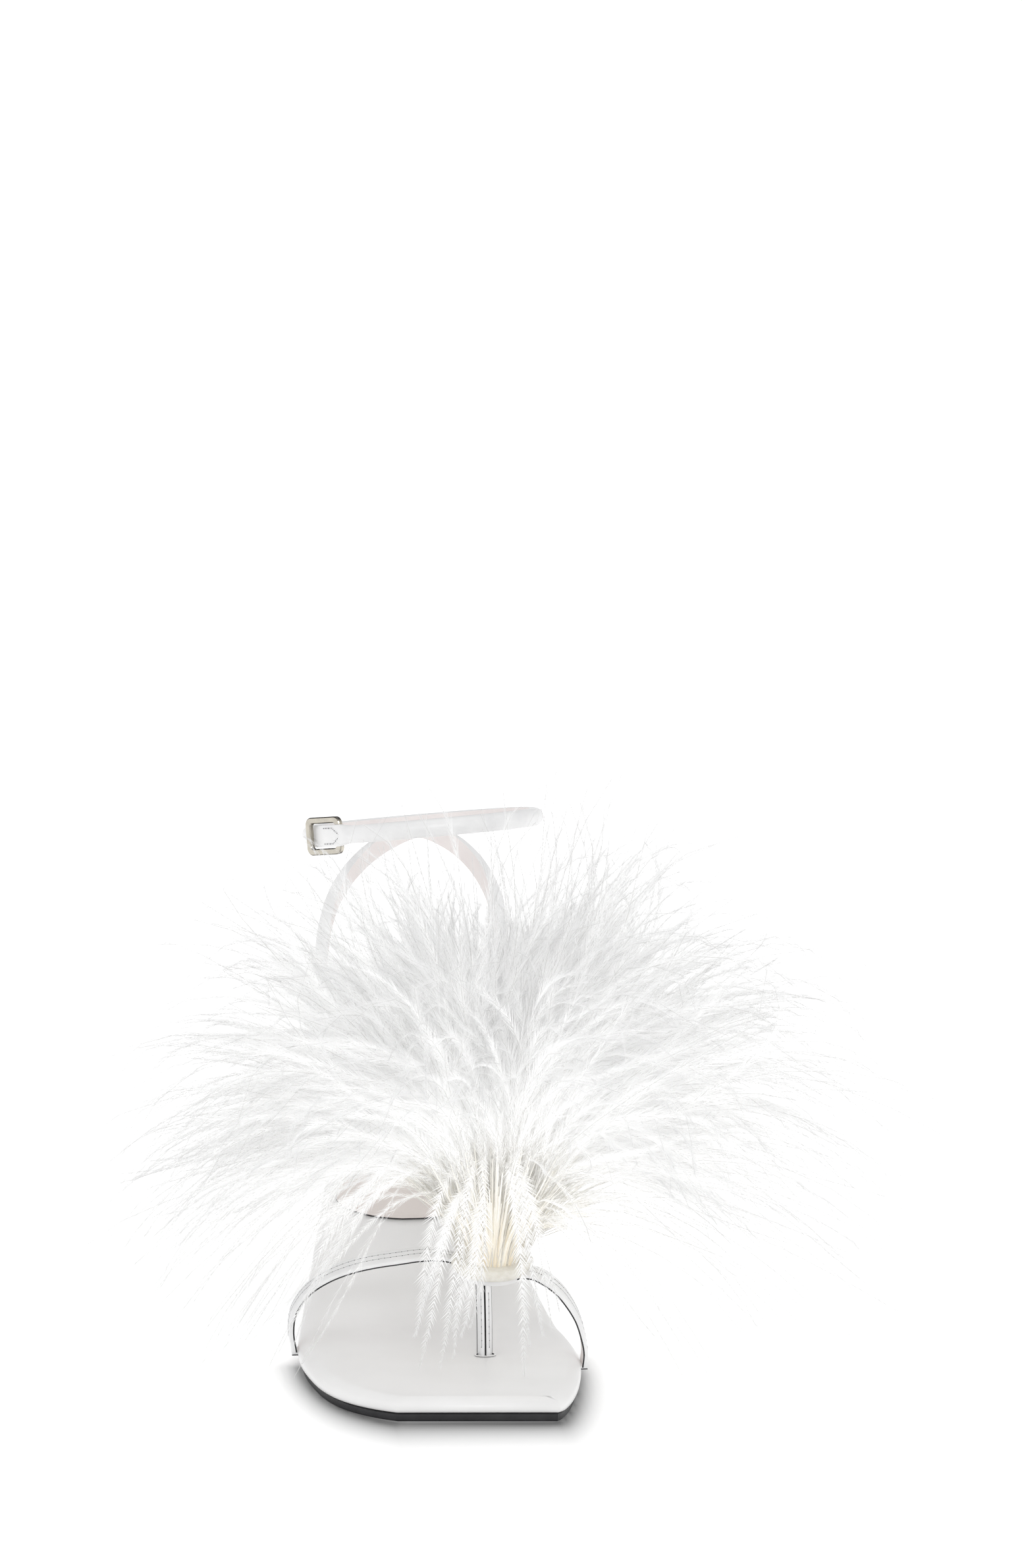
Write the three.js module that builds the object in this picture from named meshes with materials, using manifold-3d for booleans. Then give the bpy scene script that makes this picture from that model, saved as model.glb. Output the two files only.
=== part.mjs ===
// A women's high-heeled feather sandal, the right shoe, as an assembly of closed solids.
// Millimetres. +X towards the toe, +Y towards the medial side, +Z up.
// The origin is on the ground, on the flat tread under the middle of the ball.
import * as THREE from 'three';
import { mergeVertices } from 'three/addons/utils/BufferGeometryUtils.js';
import Module from 'manifold-3d';

const wasm = await Module();
wasm.setup();

// Clearance between pieces laid against each other, and the finest edge that a cut may leave
const gap = 0.3;
const sliver = 0.02;

// Side profile of the sole, along the ground line under the outsole
const treadBack = 12;
const treadFront = 33;
const toeReach = 72;
const toeSpring = 1.6;
const shankRun = 102;
const heelRise = 62.5;
const seatLength = 38;
const seatRise = 2.5;
const shankHandle = 0.3;

// Width of the sole, and how far the toe edge slants forward to the medial side
const ballWidth = 79;
const toeSlant = 0.13;

// Layers of the sole
const outsoleThickness = 2.3;
const outsoleInset = 1.1;
const footbedThickness = 4.2;
const bevelWidth = 4.2;
const wallHeight = 1.7;
const bevelShoulder = 1.3;
const sockThickness = 0.8;
const sockFront = 101;
const sockBow = 12;
const edgeRound = 0.9;
const edgeBreak = 0.7;

// Heel and its top piece
const breast = 43;
const heelInset = 1.4;
const heelFootLength = 12.5;
const heelFootWidth = 12;
const heelFootBack = 9;
const topPieceHeight = 6;
const topPieceBreak = 0.5;
const cutterMargin = 6;
const cutterHeight = 20;

// Vamp straps, toe post and the round tab where they cross
const vampWidth = 6.2;
const vampThickness = 1.6;
const lateralFoot = -5;
const medialFoot = 18;
const lateralRise = 28;
const medialRise = 25.2;
const vampTilt = 0.34;
const postWidth = 4.5;
const postDepth = 2.8;
const postAlong = 17;
const postSide = 11.8;
const tabRadius = 9.5;
const tabThickness = 1.8;
const tabSink = 0.15;
const tuckLength = 8;
const tuckTrim = 0.8;
const lateralMeet = new THREE.Vector2(-5, -5.5);
const medialMeet = new THREE.Vector2(4, 7);
const postMeet = new THREE.Vector2(7, -3);
const postBow = 0.8;

// Felt disc under the feathers
const discRadius = 11.7;
const discThickness = 3.5;
const discTilt = THREE.MathUtils.degToRad(8);
const discCentre = new THREE.Vector3(2, 15.2, 28.4);

// Heel loop and ankle strap
const padWidth = 5.2;
const padThickness = 4;
const loopAlong = 27;
const loopTop = 126.8;
const loopShift = 4;
const ankleBack = -146;
const ankleDepth = 73;
const ankleWidth = 67;
const ankleSide = 5;
const ankleHeight = 128.6;
const anklePitch = 0.175;
const ankleRoll = 0.07;
const ankleSquareness = 2.5;

// Buckle frame, and the flat end of the strap that runs through it
const flatWidth = 6.6;
const flatThickness = 1.8;
const flatReach = 8;
const flatBlend = 5;
const buckleLength = 9.6;
const buckleBar = 1.9;
const buckleDepth = 1.8;
const buckleGap = 0.5;
const buckleAt = -90.5;
const windowRoom = 0.4;
const buckleCorner = 2.2;
const windowCorner = 0.8;
const buckleEdge = 0.3;

// Feather bunches
const trunkRadius = 7.6;
const trunkHeight = 14;
const bloomHeight = 92;
const bloomRadius = 40;
const bloomSpread = 1.2;
const bloomMiddle = 50;
const bloomRing = 8;
const featherReach = 96;
const featherWidth = 20;
const featherThickness = 10;
const candidateCount = 74;
const lowestLift = -34;
const plumeShare = 0.6;
const lockSides = 5;
const fallReach = 92;
const fallWidth = 12;
const fallThickness = 5;
const fallRootHeight = 6;
const lateralStretch = 0.96;
const medialStretch = 1.08;
const lateralArch = 0.3;
const medialArch = 0.14;
const goldenAngle = THREE.MathUtils.radToDeg(Math.PI * (3 - Math.sqrt(5)));

// Closed meshes and solids

function closedMesh(points, faces) {
  const geometry = new THREE.BufferGeometry();
  const flat = points.flatMap((point) => [point.x, point.y, point.z]);
  geometry.setAttribute('position', new THREE.Float32BufferAttribute(flat, 3));
  geometry.setIndex(faces.flat());
  return geometry;
}

function solidOf(geometry) {
  const bare = geometry.clone();
  bare.deleteAttribute('normal');
  bare.deleteAttribute('uv');
  const merged = mergeVertices(bare, 1e-4);
  const vertProperties = new Float32Array(merged.attributes.position.array);
  const triVerts = new Uint32Array(merged.index.array);
  return new wasm.Manifold(new wasm.Mesh({ numProp: 3, vertProperties, triVerts }));
}

// The mesh of a joined or cut solid, without its slivers
function geometryOf(solid) {
  const mesh = solid.simplify(sliver).getMesh();
  const geometry = new THREE.BufferGeometry();
  geometry.setAttribute('position', new THREE.Float32BufferAttribute(mesh.vertProperties, 3));
  geometry.setIndex(Array.from(mesh.triVerts));
  return geometry;
}

// A skin through rings of equally many points, closed by a fan at each end
function loft(rings) {
  const count = rings[0].length;
  const points = rings.flat();
  const faces = [];
  for (let ring = 0; ring + 1 < rings.length; ring += 1) {
    for (let side = 0; side < count; side += 1) {
      const next = (side + 1) % count;
      const low = ring * count;
      const high = low + count;
      faces.push([low + side, low + next, high + next], [low + side, high + next, high + side]);
    }
  }
  const last = (rings.length - 1) * count;
  for (const [ring, start] of [[rings[0], 0], [rings[rings.length - 1], last]]) {
    const middle = ring.reduce((sum, point) => sum.add(point), new THREE.Vector3());
    points.push(middle.divideScalar(count));
    const hub = points.length - 1;
    for (let side = 0; side < count; side += 1) {
      const next = (side + 1) % count;
      const turned = start === 0 ? [hub, start + next, start + side] : [hub, start + side, start + next];
      faces.push(turned);
    }
  }
  return closedMesh(points, faces);
}

// Side profile, from the back of the seat to the toe: x along the shoe, y as height
const seatFrontPoint = new THREE.Vector2(-treadBack - shankRun, heelRise);
const seatBackPoint = new THREE.Vector2(seatFrontPoint.x - seatLength, heelRise + seatRise);
const treadBackPoint = new THREE.Vector2(-treadBack, 0);
const treadFrontPoint = new THREE.Vector2(treadFront, 0);
const toePoint = new THREE.Vector2(toeReach, toeSpring);
const handle = shankRun * shankHandle;
const profile = new THREE.CurvePath();
profile.add(new THREE.LineCurve(seatBackPoint, seatFrontPoint));
profile.add(new THREE.CubicBezierCurve(
  seatFrontPoint,
  new THREE.Vector2(seatFrontPoint.x + handle, heelRise - handle * seatRise / seatLength),
  new THREE.Vector2(treadBackPoint.x - handle, 0),
  treadBackPoint,
));
profile.add(new THREE.LineCurve(treadBackPoint, treadFrontPoint));
profile.add(new THREE.QuadraticBezierCurve(
  treadFrontPoint,
  new THREE.Vector2((treadFront + toeReach) / 2, 0),
  toePoint,
));
const soleLength = profile.getLength();

// Ground line point and its upward normal at a distance along the sole from the back
function groundAt(along) {
  const inside = THREE.MathUtils.clamp(along, 0, soleLength);
  const point = profile.getPoint(inside / soleLength);
  const tangent = profile.getTangent(inside / soleLength);
  point.addScaledVector(tangent, along - inside);
  return { point, tangent, normal: new THREE.Vector2(-tangent.y, tangent.x) };
}

// A point of the shoe from its distance along the sole, its side and its height above the ground line
function place(along, side, height) {
  const { point, normal } = groundAt(along);
  return new THREE.Vector3(point.x + normal.x * height, side, point.y + normal.y * height);
}

// Distance along the sole of a level position x
function alongOf(x) {
  let [low, high] = [0, soleLength];
  for (let round = 0; round < 40; round += 1) {
    const middle = (low + high) / 2;
    if (groundAt(middle).point.x < x) low = middle;
    else high = middle;
  }
  return (low + high) / 2;
}

// Outline of the sole. at: share of its length from the back. lateral, medial: shares of the ball width
const outlineRows = [
  { at: 0.000, lateral: 0.040, medial: 0.115 },
  { at: 0.010, lateral: 0.104, medial: 0.180 },
  { at: 0.035, lateral: 0.208, medial: 0.284 },
  { at: 0.075, lateral: 0.276, medial: 0.352 },
  { at: 0.120, lateral: 0.298, medial: 0.375 },
  { at: 0.180, lateral: 0.302, medial: 0.366 },
  { at: 0.270, lateral: 0.314, medial: 0.312 },
  { at: 0.366, lateral: 0.342, medial: 0.275 },
  { at: 0.474, lateral: 0.405, medial: 0.325 },
  { at: 0.580, lateral: 0.466, medial: 0.415 },
  { at: 0.660, lateral: 0.500, medial: 0.465 },
  { at: 0.740, lateral: 0.511, medial: 0.489 },
  { at: 0.800, lateral: 0.494, medial: 0.486 },
  { at: 0.860, lateral: 0.456, medial: 0.464 },
  { at: 0.910, lateral: 0.402, medial: 0.432 },
  { at: 0.950, lateral: 0.330, medial: 0.396 },
  { at: 0.977, lateral: 0.245, medial: 0.360 },
  { at: 0.993, lateral: 0.150, medial: 0.305 },
  { at: 1.000, lateral: 0.050, medial: 0.220 },
];

function edgeCurve(column, sign) {
  const points = outlineRows.map((row) => {
    const side = sign * row[column] * ballWidth;
    const slant = THREE.MathUtils.smoothstep(row.at, 0.85, 1) * toeSlant * side;
    return new THREE.Vector3(row.at * soleLength + slant, side, 0);
  });
  return new THREE.CatmullRomCurve3(points, false, 'centripetal');
}

const lateralEdge = edgeCurve('lateral', -1);
const medialEdge = edgeCurve('medial', 1);
const stationsPerRow = 2;
const stationCount = (outlineRows.length - 1) * stationsPerRow;

// Side of one edge at a distance along the sole
function sideAt(edge, along) {
  let [low, high] = [0, 1];
  for (let round = 0; round < 40; round += 1) {
    const middle = (low + high) / 2;
    if (edge.getPoint(middle).x < along) low = middle;
    else high = middle;
  }
  return edge.getPoint((low + high) / 2).y;
}

// Stations between two distances along the sole, each a pair of edge points
function stationsBetween(from, to) {
  const pairs = [];
  for (let station = 0; station <= stationCount; station += 1) {
    const share = station / stationCount;
    const [lateral, medial] = [lateralEdge.getPoint(share), medialEdge.getPoint(share)];
    if (lateral.x > from + 1 && medial.x < to - 1) pairs.push([lateral, medial]);
  }
  const cut = (along) => [
    new THREE.Vector3(along, sideAt(lateralEdge, along), 0),
    new THREE.Vector3(along, sideAt(medialEdge, along), 0),
  ];
  if (from > 0) pairs.unshift(cut(from));
  if (to < soleLength) pairs.push(cut(to));
  return pairs;
}

// The outline as one loop, moved inwards by an inset
function insetLoop(pairs, inset) {
  const loop = [...pairs.map((pair) => pair[0]), ...pairs.map((pair) => pair[1]).reverse()];
  return loop.map((point, index) => {
    const before = loop[(index + loop.length - 1) % loop.length];
    const after = loop[(index + 1) % loop.length];
    const arriving = point.clone().sub(before).normalize();
    const leaving = after.clone().sub(point).normalize();
    const travel = arriving.add(leaving).normalize();
    return new THREE.Vector3(point.x - travel.y * inset, point.y + travel.x * inset, 0);
  });
}

// A layer of the sole through levels, each with an inset and a height above the ground line
function soleLayer(pairs, levels) {
  const count = pairs.length * 2;
  const points = levels.flatMap(({ inset, height }) => insetLoop(pairs, inset)
    .map((point) => place(point.x, point.y, height)));
  const faces = [];
  for (let level = 0; level + 1 < levels.length; level += 1) {
    for (let side = 0; side < count; side += 1) {
      const next = (side + 1) % count;
      const [low, high] = [level * count, (level + 1) * count];
      faces.push([low + side, low + next, high + next], [low + side, high + next, high + side]);
    }
  }
  const top = (levels.length - 1) * count;
  for (let pair = 0; pair + 1 < pairs.length; pair += 1) {
    const [near, far] = [count - 1 - pair, count - 2 - pair];
    faces.push([pair + 1, pair, near], [pair + 1, near, far]);
    faces.push([top + pair, top + pair + 1, top + far], [top + pair, top + far, top + near]);
  }
  return closedMesh(points, faces);
}

// Bands: a section swept along a path, with its flat inner face towards the foot

const footbedBottom = outsoleThickness + gap;
const footbedTop = footbedBottom + footbedThickness;
const bandFoot = footbedBottom + gap + vampThickness * 0.3;

// Section points as [across, outward], for a flat or a padded strap
function bandSection(width, thickness, crown) {
  const half = width / 2;
  const edge = thickness * (1 - crown);
  const bulge = thickness * crown;
  const points = [[half, 0]];
  for (let step = 0; step <= 4; step += 1) {
    const turn = (step / 4) * Math.PI;
    points.push([half * Math.cos(turn), edge + bulge * Math.sin(turn)]);
  }
  points.push([-half, 0]);
  return points;
}

// rows: { point, out, width, thickness, crown }. grow widens the band all round, for the room it needs
function band(rows, steps, grow = 0) {
  const path = new THREE.CatmullRomCurve3(rows.map((row) => row.point), false, 'centripetal');
  const rings = [];
  for (let step = 0; step <= steps; step += 1) {
    const share = step / steps;
    const slot = Math.min(Math.floor(share * (rows.length - 1)), rows.length - 2);
    const blend = share * (rows.length - 1) - slot;
    const mix = (column) => THREE.MathUtils.lerp(rows[slot][column], rows[slot + 1][column], blend);
    const tangent = path.getTangent(share);
    const out = rows[slot].out.clone().lerp(rows[slot + 1].out, blend);
    out.addScaledVector(tangent, -out.dot(tangent)).normalize();
    const across = new THREE.Vector3().crossVectors(out, tangent);
    const centre = path.getPoint(share);
    if (step === 0) centre.addScaledVector(tangent, -grow);
    if (step === steps) centre.addScaledVector(tangent, grow);
    const thickness = mix('thickness') + 2 * grow;
    const section = bandSection(mix('width') + 2 * grow, thickness, mix('crown'));
    rings.push(section.map(([side, outward]) => centre.clone()
      .addScaledVector(across, side)
      .addScaledVector(out, outward - thickness / 2)));
  }
  return solidOf(loft(rings));
}

// A straight block between two points, for a strap end tucked under the footbed
function tuck(from, to, out, width, thickness, grow = 0) {
  const row = { out, width, thickness, crown: 0.1 };
  return band([{ ...row, point: from }, { ...row, point: to }], 1, grow);
}

const forward = new THREE.Vector3(1, 0, 0);
const upward = new THREE.Vector3(0, 0, 1);

// Vamp straps. across: share of the way from the foot of the strap to the tab.
// rise: share of the strap's rise. tilt: share of the forward tilt of its outer face
const lateralRows = [
  { across: 0.000, rise: 0.00, tilt: 0.0 },
  { across: -0.017, rise: 0.22, tilt: 0.0 },
  { across: -0.004, rise: 0.42, tilt: 0.1 },
  { across: 0.041, rise: 0.57, tilt: 0.3 },
  { across: 0.106, rise: 0.69, tilt: 0.5 },
  { across: 0.205, rise: 0.80, tilt: 0.7 },
  { across: 0.318, rise: 0.88, tilt: 0.9 },
  { across: 0.431, rise: 0.93, tilt: 1.0 },
  { across: 0.584, rise: 0.97, tilt: 1.0 },
  { across: 0.734, rise: 1.00, tilt: 0.9 },
  { across: 0.847, rise: 0.985, tilt: 0.6 },
  { across: 1.000, rise: 0.90, tilt: 0.4 },
];
const medialRows = [
  { across: 0.000, rise: 0.00, tilt: 0.0 },
  { across: -0.020, rise: 0.16, tilt: 0.0 },
  { across: 0.006, rise: 0.30, tilt: 0.1 },
  { across: 0.073, rise: 0.50, tilt: 0.4 },
  { across: 0.196, rise: 0.68, tilt: 0.8 },
  { across: 0.346, rise: 0.82, tilt: 1.0 },
  { across: 0.525, rise: 0.92, tilt: 1.2 },
  { across: 0.704, rise: 0.98, tilt: 1.1 },
  { across: 0.880, rise: 0.985, tilt: 0.8 },
  { across: 1.000, rise: 0.96, tilt: 0.4 },
];

const discTurn = new THREE.Matrix4().makeRotationY(discTilt);
const discUp = upward.clone().applyMatrix4(discTurn);

// A point given in the disc's own plane: forward, medial and above its lower face
function onDisc(ahead, side, above) {
  return new THREE.Vector3(ahead, side, above).applyMatrix4(discTurn).add(discCentre);
}

// Middle of the tab's thickness, below the disc's lower face
const tabMiddle = -gap - tabThickness / 2;

function strapFoot(edge, x) {
  const along = alongOf(x);
  return { along, wall: sideAt(edge, along) };
}

function vampBand(edge, x, rows, rise, end, grow = 0) {
  const { along, wall } = strapFoot(edge, x);
  const outside = Math.sign(wall);
  const start = place(along, wall + outside * (gap + vampThickness / 2), bandFoot);
  const points = rows.map(({ across, rise: lift, tilt }) => {
    const point = start.clone().lerp(end, across);
    point.z = start.z + lift * rise;
    return { point, tilt };
  });
  const path = new THREE.CatmullRomCurve3(points.map((row) => row.point), false, 'centripetal');
  const bandRows = points.map(({ point, tilt }, index) => {
    const tangent = path.getTangent(index / (rows.length - 1));
    const out = new THREE.Vector3().crossVectors(forward, tangent).multiplyScalar(-outside);
    out.normalize().addScaledVector(forward, tilt * vampTilt);
    return { point, out, width: vampWidth, thickness: vampThickness, crown: 0.25 };
  });
  const inside = place(along, wall - outside * tuckLength, footbedBottom + gap + vampThickness / 2);
  const rim = place(along, wall + outside * (gap + vampThickness), footbedBottom + gap + vampThickness / 2);
  const strap = band(bandRows, 18, grow);
  return strap.add(tuck(inside, rim, upward, vampWidth - tuckTrim, vampThickness, grow));
}

const lateralEnd = onDisc(lateralMeet.x, lateralMeet.y, tabMiddle);
const medialEnd = onDisc(medialMeet.x, medialMeet.y, tabMiddle);

function toePost(grow = 0) {
  const along = alongOf(postAlong);
  const low = footbedBottom + gap + vampThickness / 2;
  const row = { out: forward, width: postWidth, thickness: postDepth, crown: 0.35 };
  const foot = place(along, postSide, bandFoot);
  const head = onDisc(postMeet.x, postMeet.y, tabMiddle);
  const middle = foot.clone().lerp(head, 0.5).addScaledVector(forward, postBow);
  const post = band([foot, middle, head].map((point) => ({ ...row, point })), 6, grow);
  const heel = place(along - postDepth / 2, postSide, low);
  const toe = place(along + tuckLength, postSide, low);
  return post.add(tuck(heel, toe, upward, postWidth - tuckTrim, vampThickness, grow));
}

function roundPlate(radius, low, high, chamfer) {
  const outline = [
    new THREE.Vector2(0, low),
    new THREE.Vector2(radius - chamfer, low),
    new THREE.Vector2(radius, low + chamfer),
    new THREE.Vector2(radius, high - chamfer),
    new THREE.Vector2(radius - chamfer, high),
    new THREE.Vector2(0, high),
  ];
  const plate = new THREE.LatheGeometry(outline, 28);
  plate.rotateX(Math.PI / 2);
  plate.applyMatrix4(discTurn);
  plate.translate(discCentre.x, discCentre.y, discCentre.z);
  return plate;
}

function vampSolid(grow = 0) {
  const lateral = vampBand(lateralEdge, lateralFoot, lateralRows, lateralRise, lateralEnd, grow);
  const medial = vampBand(medialEdge, medialFoot, medialRows, medialRise, medialEnd, grow);
  return lateral.add(medial).add(toePost(grow));
}

const crossTab = solidOf(roundPlate(tabRadius, -gap - tabThickness, -gap - tabSink, 0.4));
const discRoom = solidOf(roundPlate(discRadius + gap, -gap, discThickness + gap, 0.4));
const vampStraps = vampSolid().add(crossTab).subtract(discRoom);
const feltDisc = roundPlate(discRadius, 0, discThickness, 0.7);

// Ankle strap and heel loop

// Height of the ankle strap's middle line
function ankleLevel(x, y) {
  return ankleHeight + anklePitch * (x - ankleBack) + ankleRoll * (y - ankleSide);
}

// A point of the ankle strap's middle line, by its turn from the front towards the lateral side
function anklePoint(turn) {
  const power = 2 / ankleSquareness;
  const [c, s] = [Math.cos(turn), Math.sin(turn)];
  const x = ankleBack + ankleDepth / 2 + Math.sign(c) * (ankleDepth / 2) * Math.abs(c) ** power;
  const y = ankleSide - Math.sign(s) * (ankleWidth / 2) * Math.abs(s) ** power;
  return new THREE.Vector3(x, y, ankleLevel(x, y));
}

function ankleOut(turn) {
  const step = 0.01;
  const tangent = anklePoint(turn + step).sub(anklePoint(turn - step)).normalize();
  return new THREE.Vector3(-tangent.y, tangent.x, 0).normalize();
}

function turnAtX(x) {
  let [low, high] = [0, Math.PI / 2];
  for (let round = 0; round < 40; round += 1) {
    const middle = (low + high) / 2;
    if (anklePoint(middle).x > x) low = middle;
    else high = middle;
  }
  return (low + high) / 2;
}

const buckleTurn = turnAtX(buckleAt);
const buckleCentre = anklePoint(buckleTurn);

function ankleLoop() {
  const rings = [];
  const steps = 48;
  for (let step = 0; step < steps; step += 1) {
    const turn = buckleTurn - (step / steps) * Math.PI * 2;
    const centre = anklePoint(turn);
    const out = ankleOut(turn);
    const away = centre.distanceTo(buckleCentre);
    const pad = THREE.MathUtils.smoothstep(away, flatReach, flatReach + flatBlend);
    const width = THREE.MathUtils.lerp(flatWidth, padWidth, pad);
    const thickness = THREE.MathUtils.lerp(flatThickness, padThickness, pad);
    const crown = THREE.MathUtils.lerp(0.15, 0.6, pad);
    const section = bandSection(width, thickness, crown);
    rings.push(section.map(([side, outward]) => centre.clone()
      .addScaledVector(upward, side)
      .addScaledVector(out, outward - thickness / 2)));
  }
  const count = rings[0].length;
  const faces = [];
  for (let ring = 0; ring < steps; ring += 1) {
    for (let side = 0; side < count; side += 1) {
      const next = (side + 1) % count;
      const low = ring * count;
      const high = ((ring + 1) % steps) * count;
      faces.push([low + side, low + next, high + next], [low + side, high + next, high + side]);
    }
  }
  return solidOf(closedMesh(rings.flat(), faces));
}

// Heel loop, from the seat to its top. rise: share of its height. side: share of its half width.
// back: share of its lean. turn: how far its outer face has turned to the back
const loopRows = [
  { rise: 0.000, side: 1.000, back: 0.00, turn: 0.0, pad: 0 },
  { rise: 0.100, side: 1.010, back: 0.04, turn: 0.0, pad: 0.3 },
  { rise: 0.220, side: 1.010, back: 0.12, turn: 0.05, pad: 1 },
  { rise: 0.500, side: 0.975, back: 0.42, turn: 0.2, pad: 1 },
  { rise: 0.660, side: 0.900, back: 0.62, turn: 0.4, pad: 1 },
  { rise: 0.780, side: 0.760, back: 0.78, turn: 0.6, pad: 1 },
  { rise: 0.870, side: 0.580, back: 0.89, turn: 0.75, pad: 1 },
  { rise: 0.945, side: 0.340, back: 0.96, turn: 0.9, pad: 1 },
  { rise: 1.000, side: 0.000, back: 1.00, turn: 1.0, pad: 1 },
];

function heelLoop(grow = 0) {
  const lateralWall = sideAt(lateralEdge, loopAlong);
  const medialWall = sideAt(medialEdge, loopAlong);
  const middle = (lateralWall + medialWall) / 2;
  const half = (medialWall - lateralWall) / 2 + gap + flatThickness / 2;
  const start = place(loopAlong, middle, bandFoot);
  const rowFor = ({ rise, side, back, turn, pad }, sign) => {
    const shift = loopShift * rise * rise;
    const point = new THREE.Vector3(
      THREE.MathUtils.lerp(start.x, ankleBack, back),
      middle + shift + sign * half * side,
      THREE.MathUtils.lerp(start.z, loopTop, rise),
    );
    const out = new THREE.Vector3(-turn, sign * (1 - turn), 0.35 * Math.sin(Math.PI * turn));
    return {
      point,
      out: out.normalize(),
      width: THREE.MathUtils.lerp(vampWidth, padWidth, pad),
      thickness: THREE.MathUtils.lerp(flatThickness, padThickness, pad),
      crown: THREE.MathUtils.lerp(0.2, 0.6, pad),
    };
  };
  const lateral = loopRows.map((row) => rowFor(row, -1));
  const medial = loopRows.slice(0, -1).reverse().map((row) => rowFor(row, 1));
  let loop = band([...lateral, ...medial], 32, grow);
  for (const [wall, sign] of [[lateralWall, -1], [medialWall, 1]]) {
    const height = footbedBottom + gap + vampThickness / 2;
    const inside = place(loopAlong, wall - sign * tuckLength, height);
    const rim = place(loopAlong, wall + sign * (gap + flatThickness), height);
    loop = loop.add(tuck(inside, rim, upward, vampWidth - tuckTrim, vampThickness, grow));
  }
  return loop;
}

const ankleStrap = ankleLoop().add(heelLoop());

// Buckle frame: its inner bar lies under the strap's flat end, its outer bar over it
function roundedRectangle(path, width, height, radius) {
  const [x, y] = [width / 2, height / 2];
  path.moveTo(-x + radius, -y);
  path.lineTo(x - radius, -y);
  path.absarc(x - radius, -y + radius, radius, -Math.PI / 2, 0, false);
  path.lineTo(x, y - radius);
  path.absarc(x - radius, y - radius, radius, 0, Math.PI / 2, false);
  path.lineTo(-x + radius, y);
  path.absarc(-x + radius, y - radius, radius, Math.PI / 2, Math.PI, false);
  path.lineTo(-x, -y + radius);
  path.absarc(-x + radius, -y + radius, radius, Math.PI, Math.PI * 1.5, false);
  return path;
}

function buckleFrame() {
  const windowHeight = flatWidth + 2 * windowRoom;
  const height = windowHeight + 2 * buckleBar;
  const length = buckleLength + 2 * buckleBar;
  const outline = roundedRectangle(new THREE.Shape(), length, height, buckleCorner);
  outline.holes.push(roundedRectangle(new THREE.Path(), buckleLength, windowHeight, windowCorner));
  const frame = new THREE.ExtrudeGeometry(outline, {
    depth: buckleDepth - 2 * buckleEdge,
    bevelEnabled: true,
    bevelThickness: buckleEdge,
    bevelSize: buckleEdge,
    bevelOffset: -buckleEdge,
    bevelSegments: 1,
    curveSegments: 4,
  });
  frame.translate(0, 0, buckleEdge - buckleDepth / 2);
  const reach = (buckleLength + buckleBar) / 2;
  const step = 0.01;
  const speed = anklePoint(buckleTurn + step).distanceTo(anklePoint(buckleTurn - step)) / (2 * step);
  const front = anklePoint(buckleTurn - reach / speed);
  const back = anklePoint(buckleTurn + reach / speed);
  const centre = front.clone().add(back).divideScalar(2);
  const backward = back.clone().sub(front).normalize();
  const out = new THREE.Vector3().crossVectors(upward, backward).normalize();
  const frameUp = new THREE.Vector3().crossVectors(backward, out);
  const lift = flatThickness / 2 + buckleGap + buckleDepth / 2;
  const swing = Math.asin(lift / reach);
  const along = backward.clone().multiplyScalar(Math.cos(swing)).addScaledVector(out, Math.sin(swing));
  const face = new THREE.Vector3().crossVectors(along, frameUp);
  const turn = new THREE.Matrix4().makeBasis(along, frameUp, face);
  frame.applyMatrix4(turn);
  frame.translate(centre.x, centre.y, centre.z);
  return frame;
}

// Sole

const fullPairs = stationsBetween(0, soleLength);
const outsolePairs = stationsBetween(breast + gap, soleLength);

const outsole = soleLayer(outsolePairs, [
  { inset: outsoleInset + edgeBreak, height: 0 },
  { inset: outsoleInset, height: edgeBreak },
  { inset: outsoleInset, height: outsoleThickness },
]);

const footbedWhole = soleLayer(fullPairs, [
  { inset: edgeRound, height: footbedBottom },
  { inset: 0, height: footbedBottom + edgeBreak },
  { inset: 0, height: footbedBottom + wallHeight },
  { inset: edgeRound, height: footbedBottom + wallHeight + bevelShoulder },
  { inset: bevelWidth, height: footbedTop },
]);
const footbed = solidOf(footbedWhole).subtract(vampSolid(gap)).subtract(heelLoop(gap));

function sockPairs() {
  const pairs = stationsBetween(0, sockFront);
  const [lateral, medial] = pairs[pairs.length - 1];
  const middle = (lateral.y + medial.y) / 2;
  const half = (medial.y - lateral.y) / 2;
  for (const turn of [0.35, 0.7, 1.0, 1.25, 1.45]) {
    const along = sockFront + sockBow * Math.sin(turn);
    pairs.push([-1, 1].map((sign) => new THREE.Vector3(along, middle + sign * half * Math.cos(turn), 0)));
  }
  return pairs;
}

const heelSock = soleLayer(sockPairs(), [
  { inset: bevelWidth, height: footbedTop + gap },
  { inset: bevelWidth, height: footbedTop + gap + sockThickness },
]);

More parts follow.
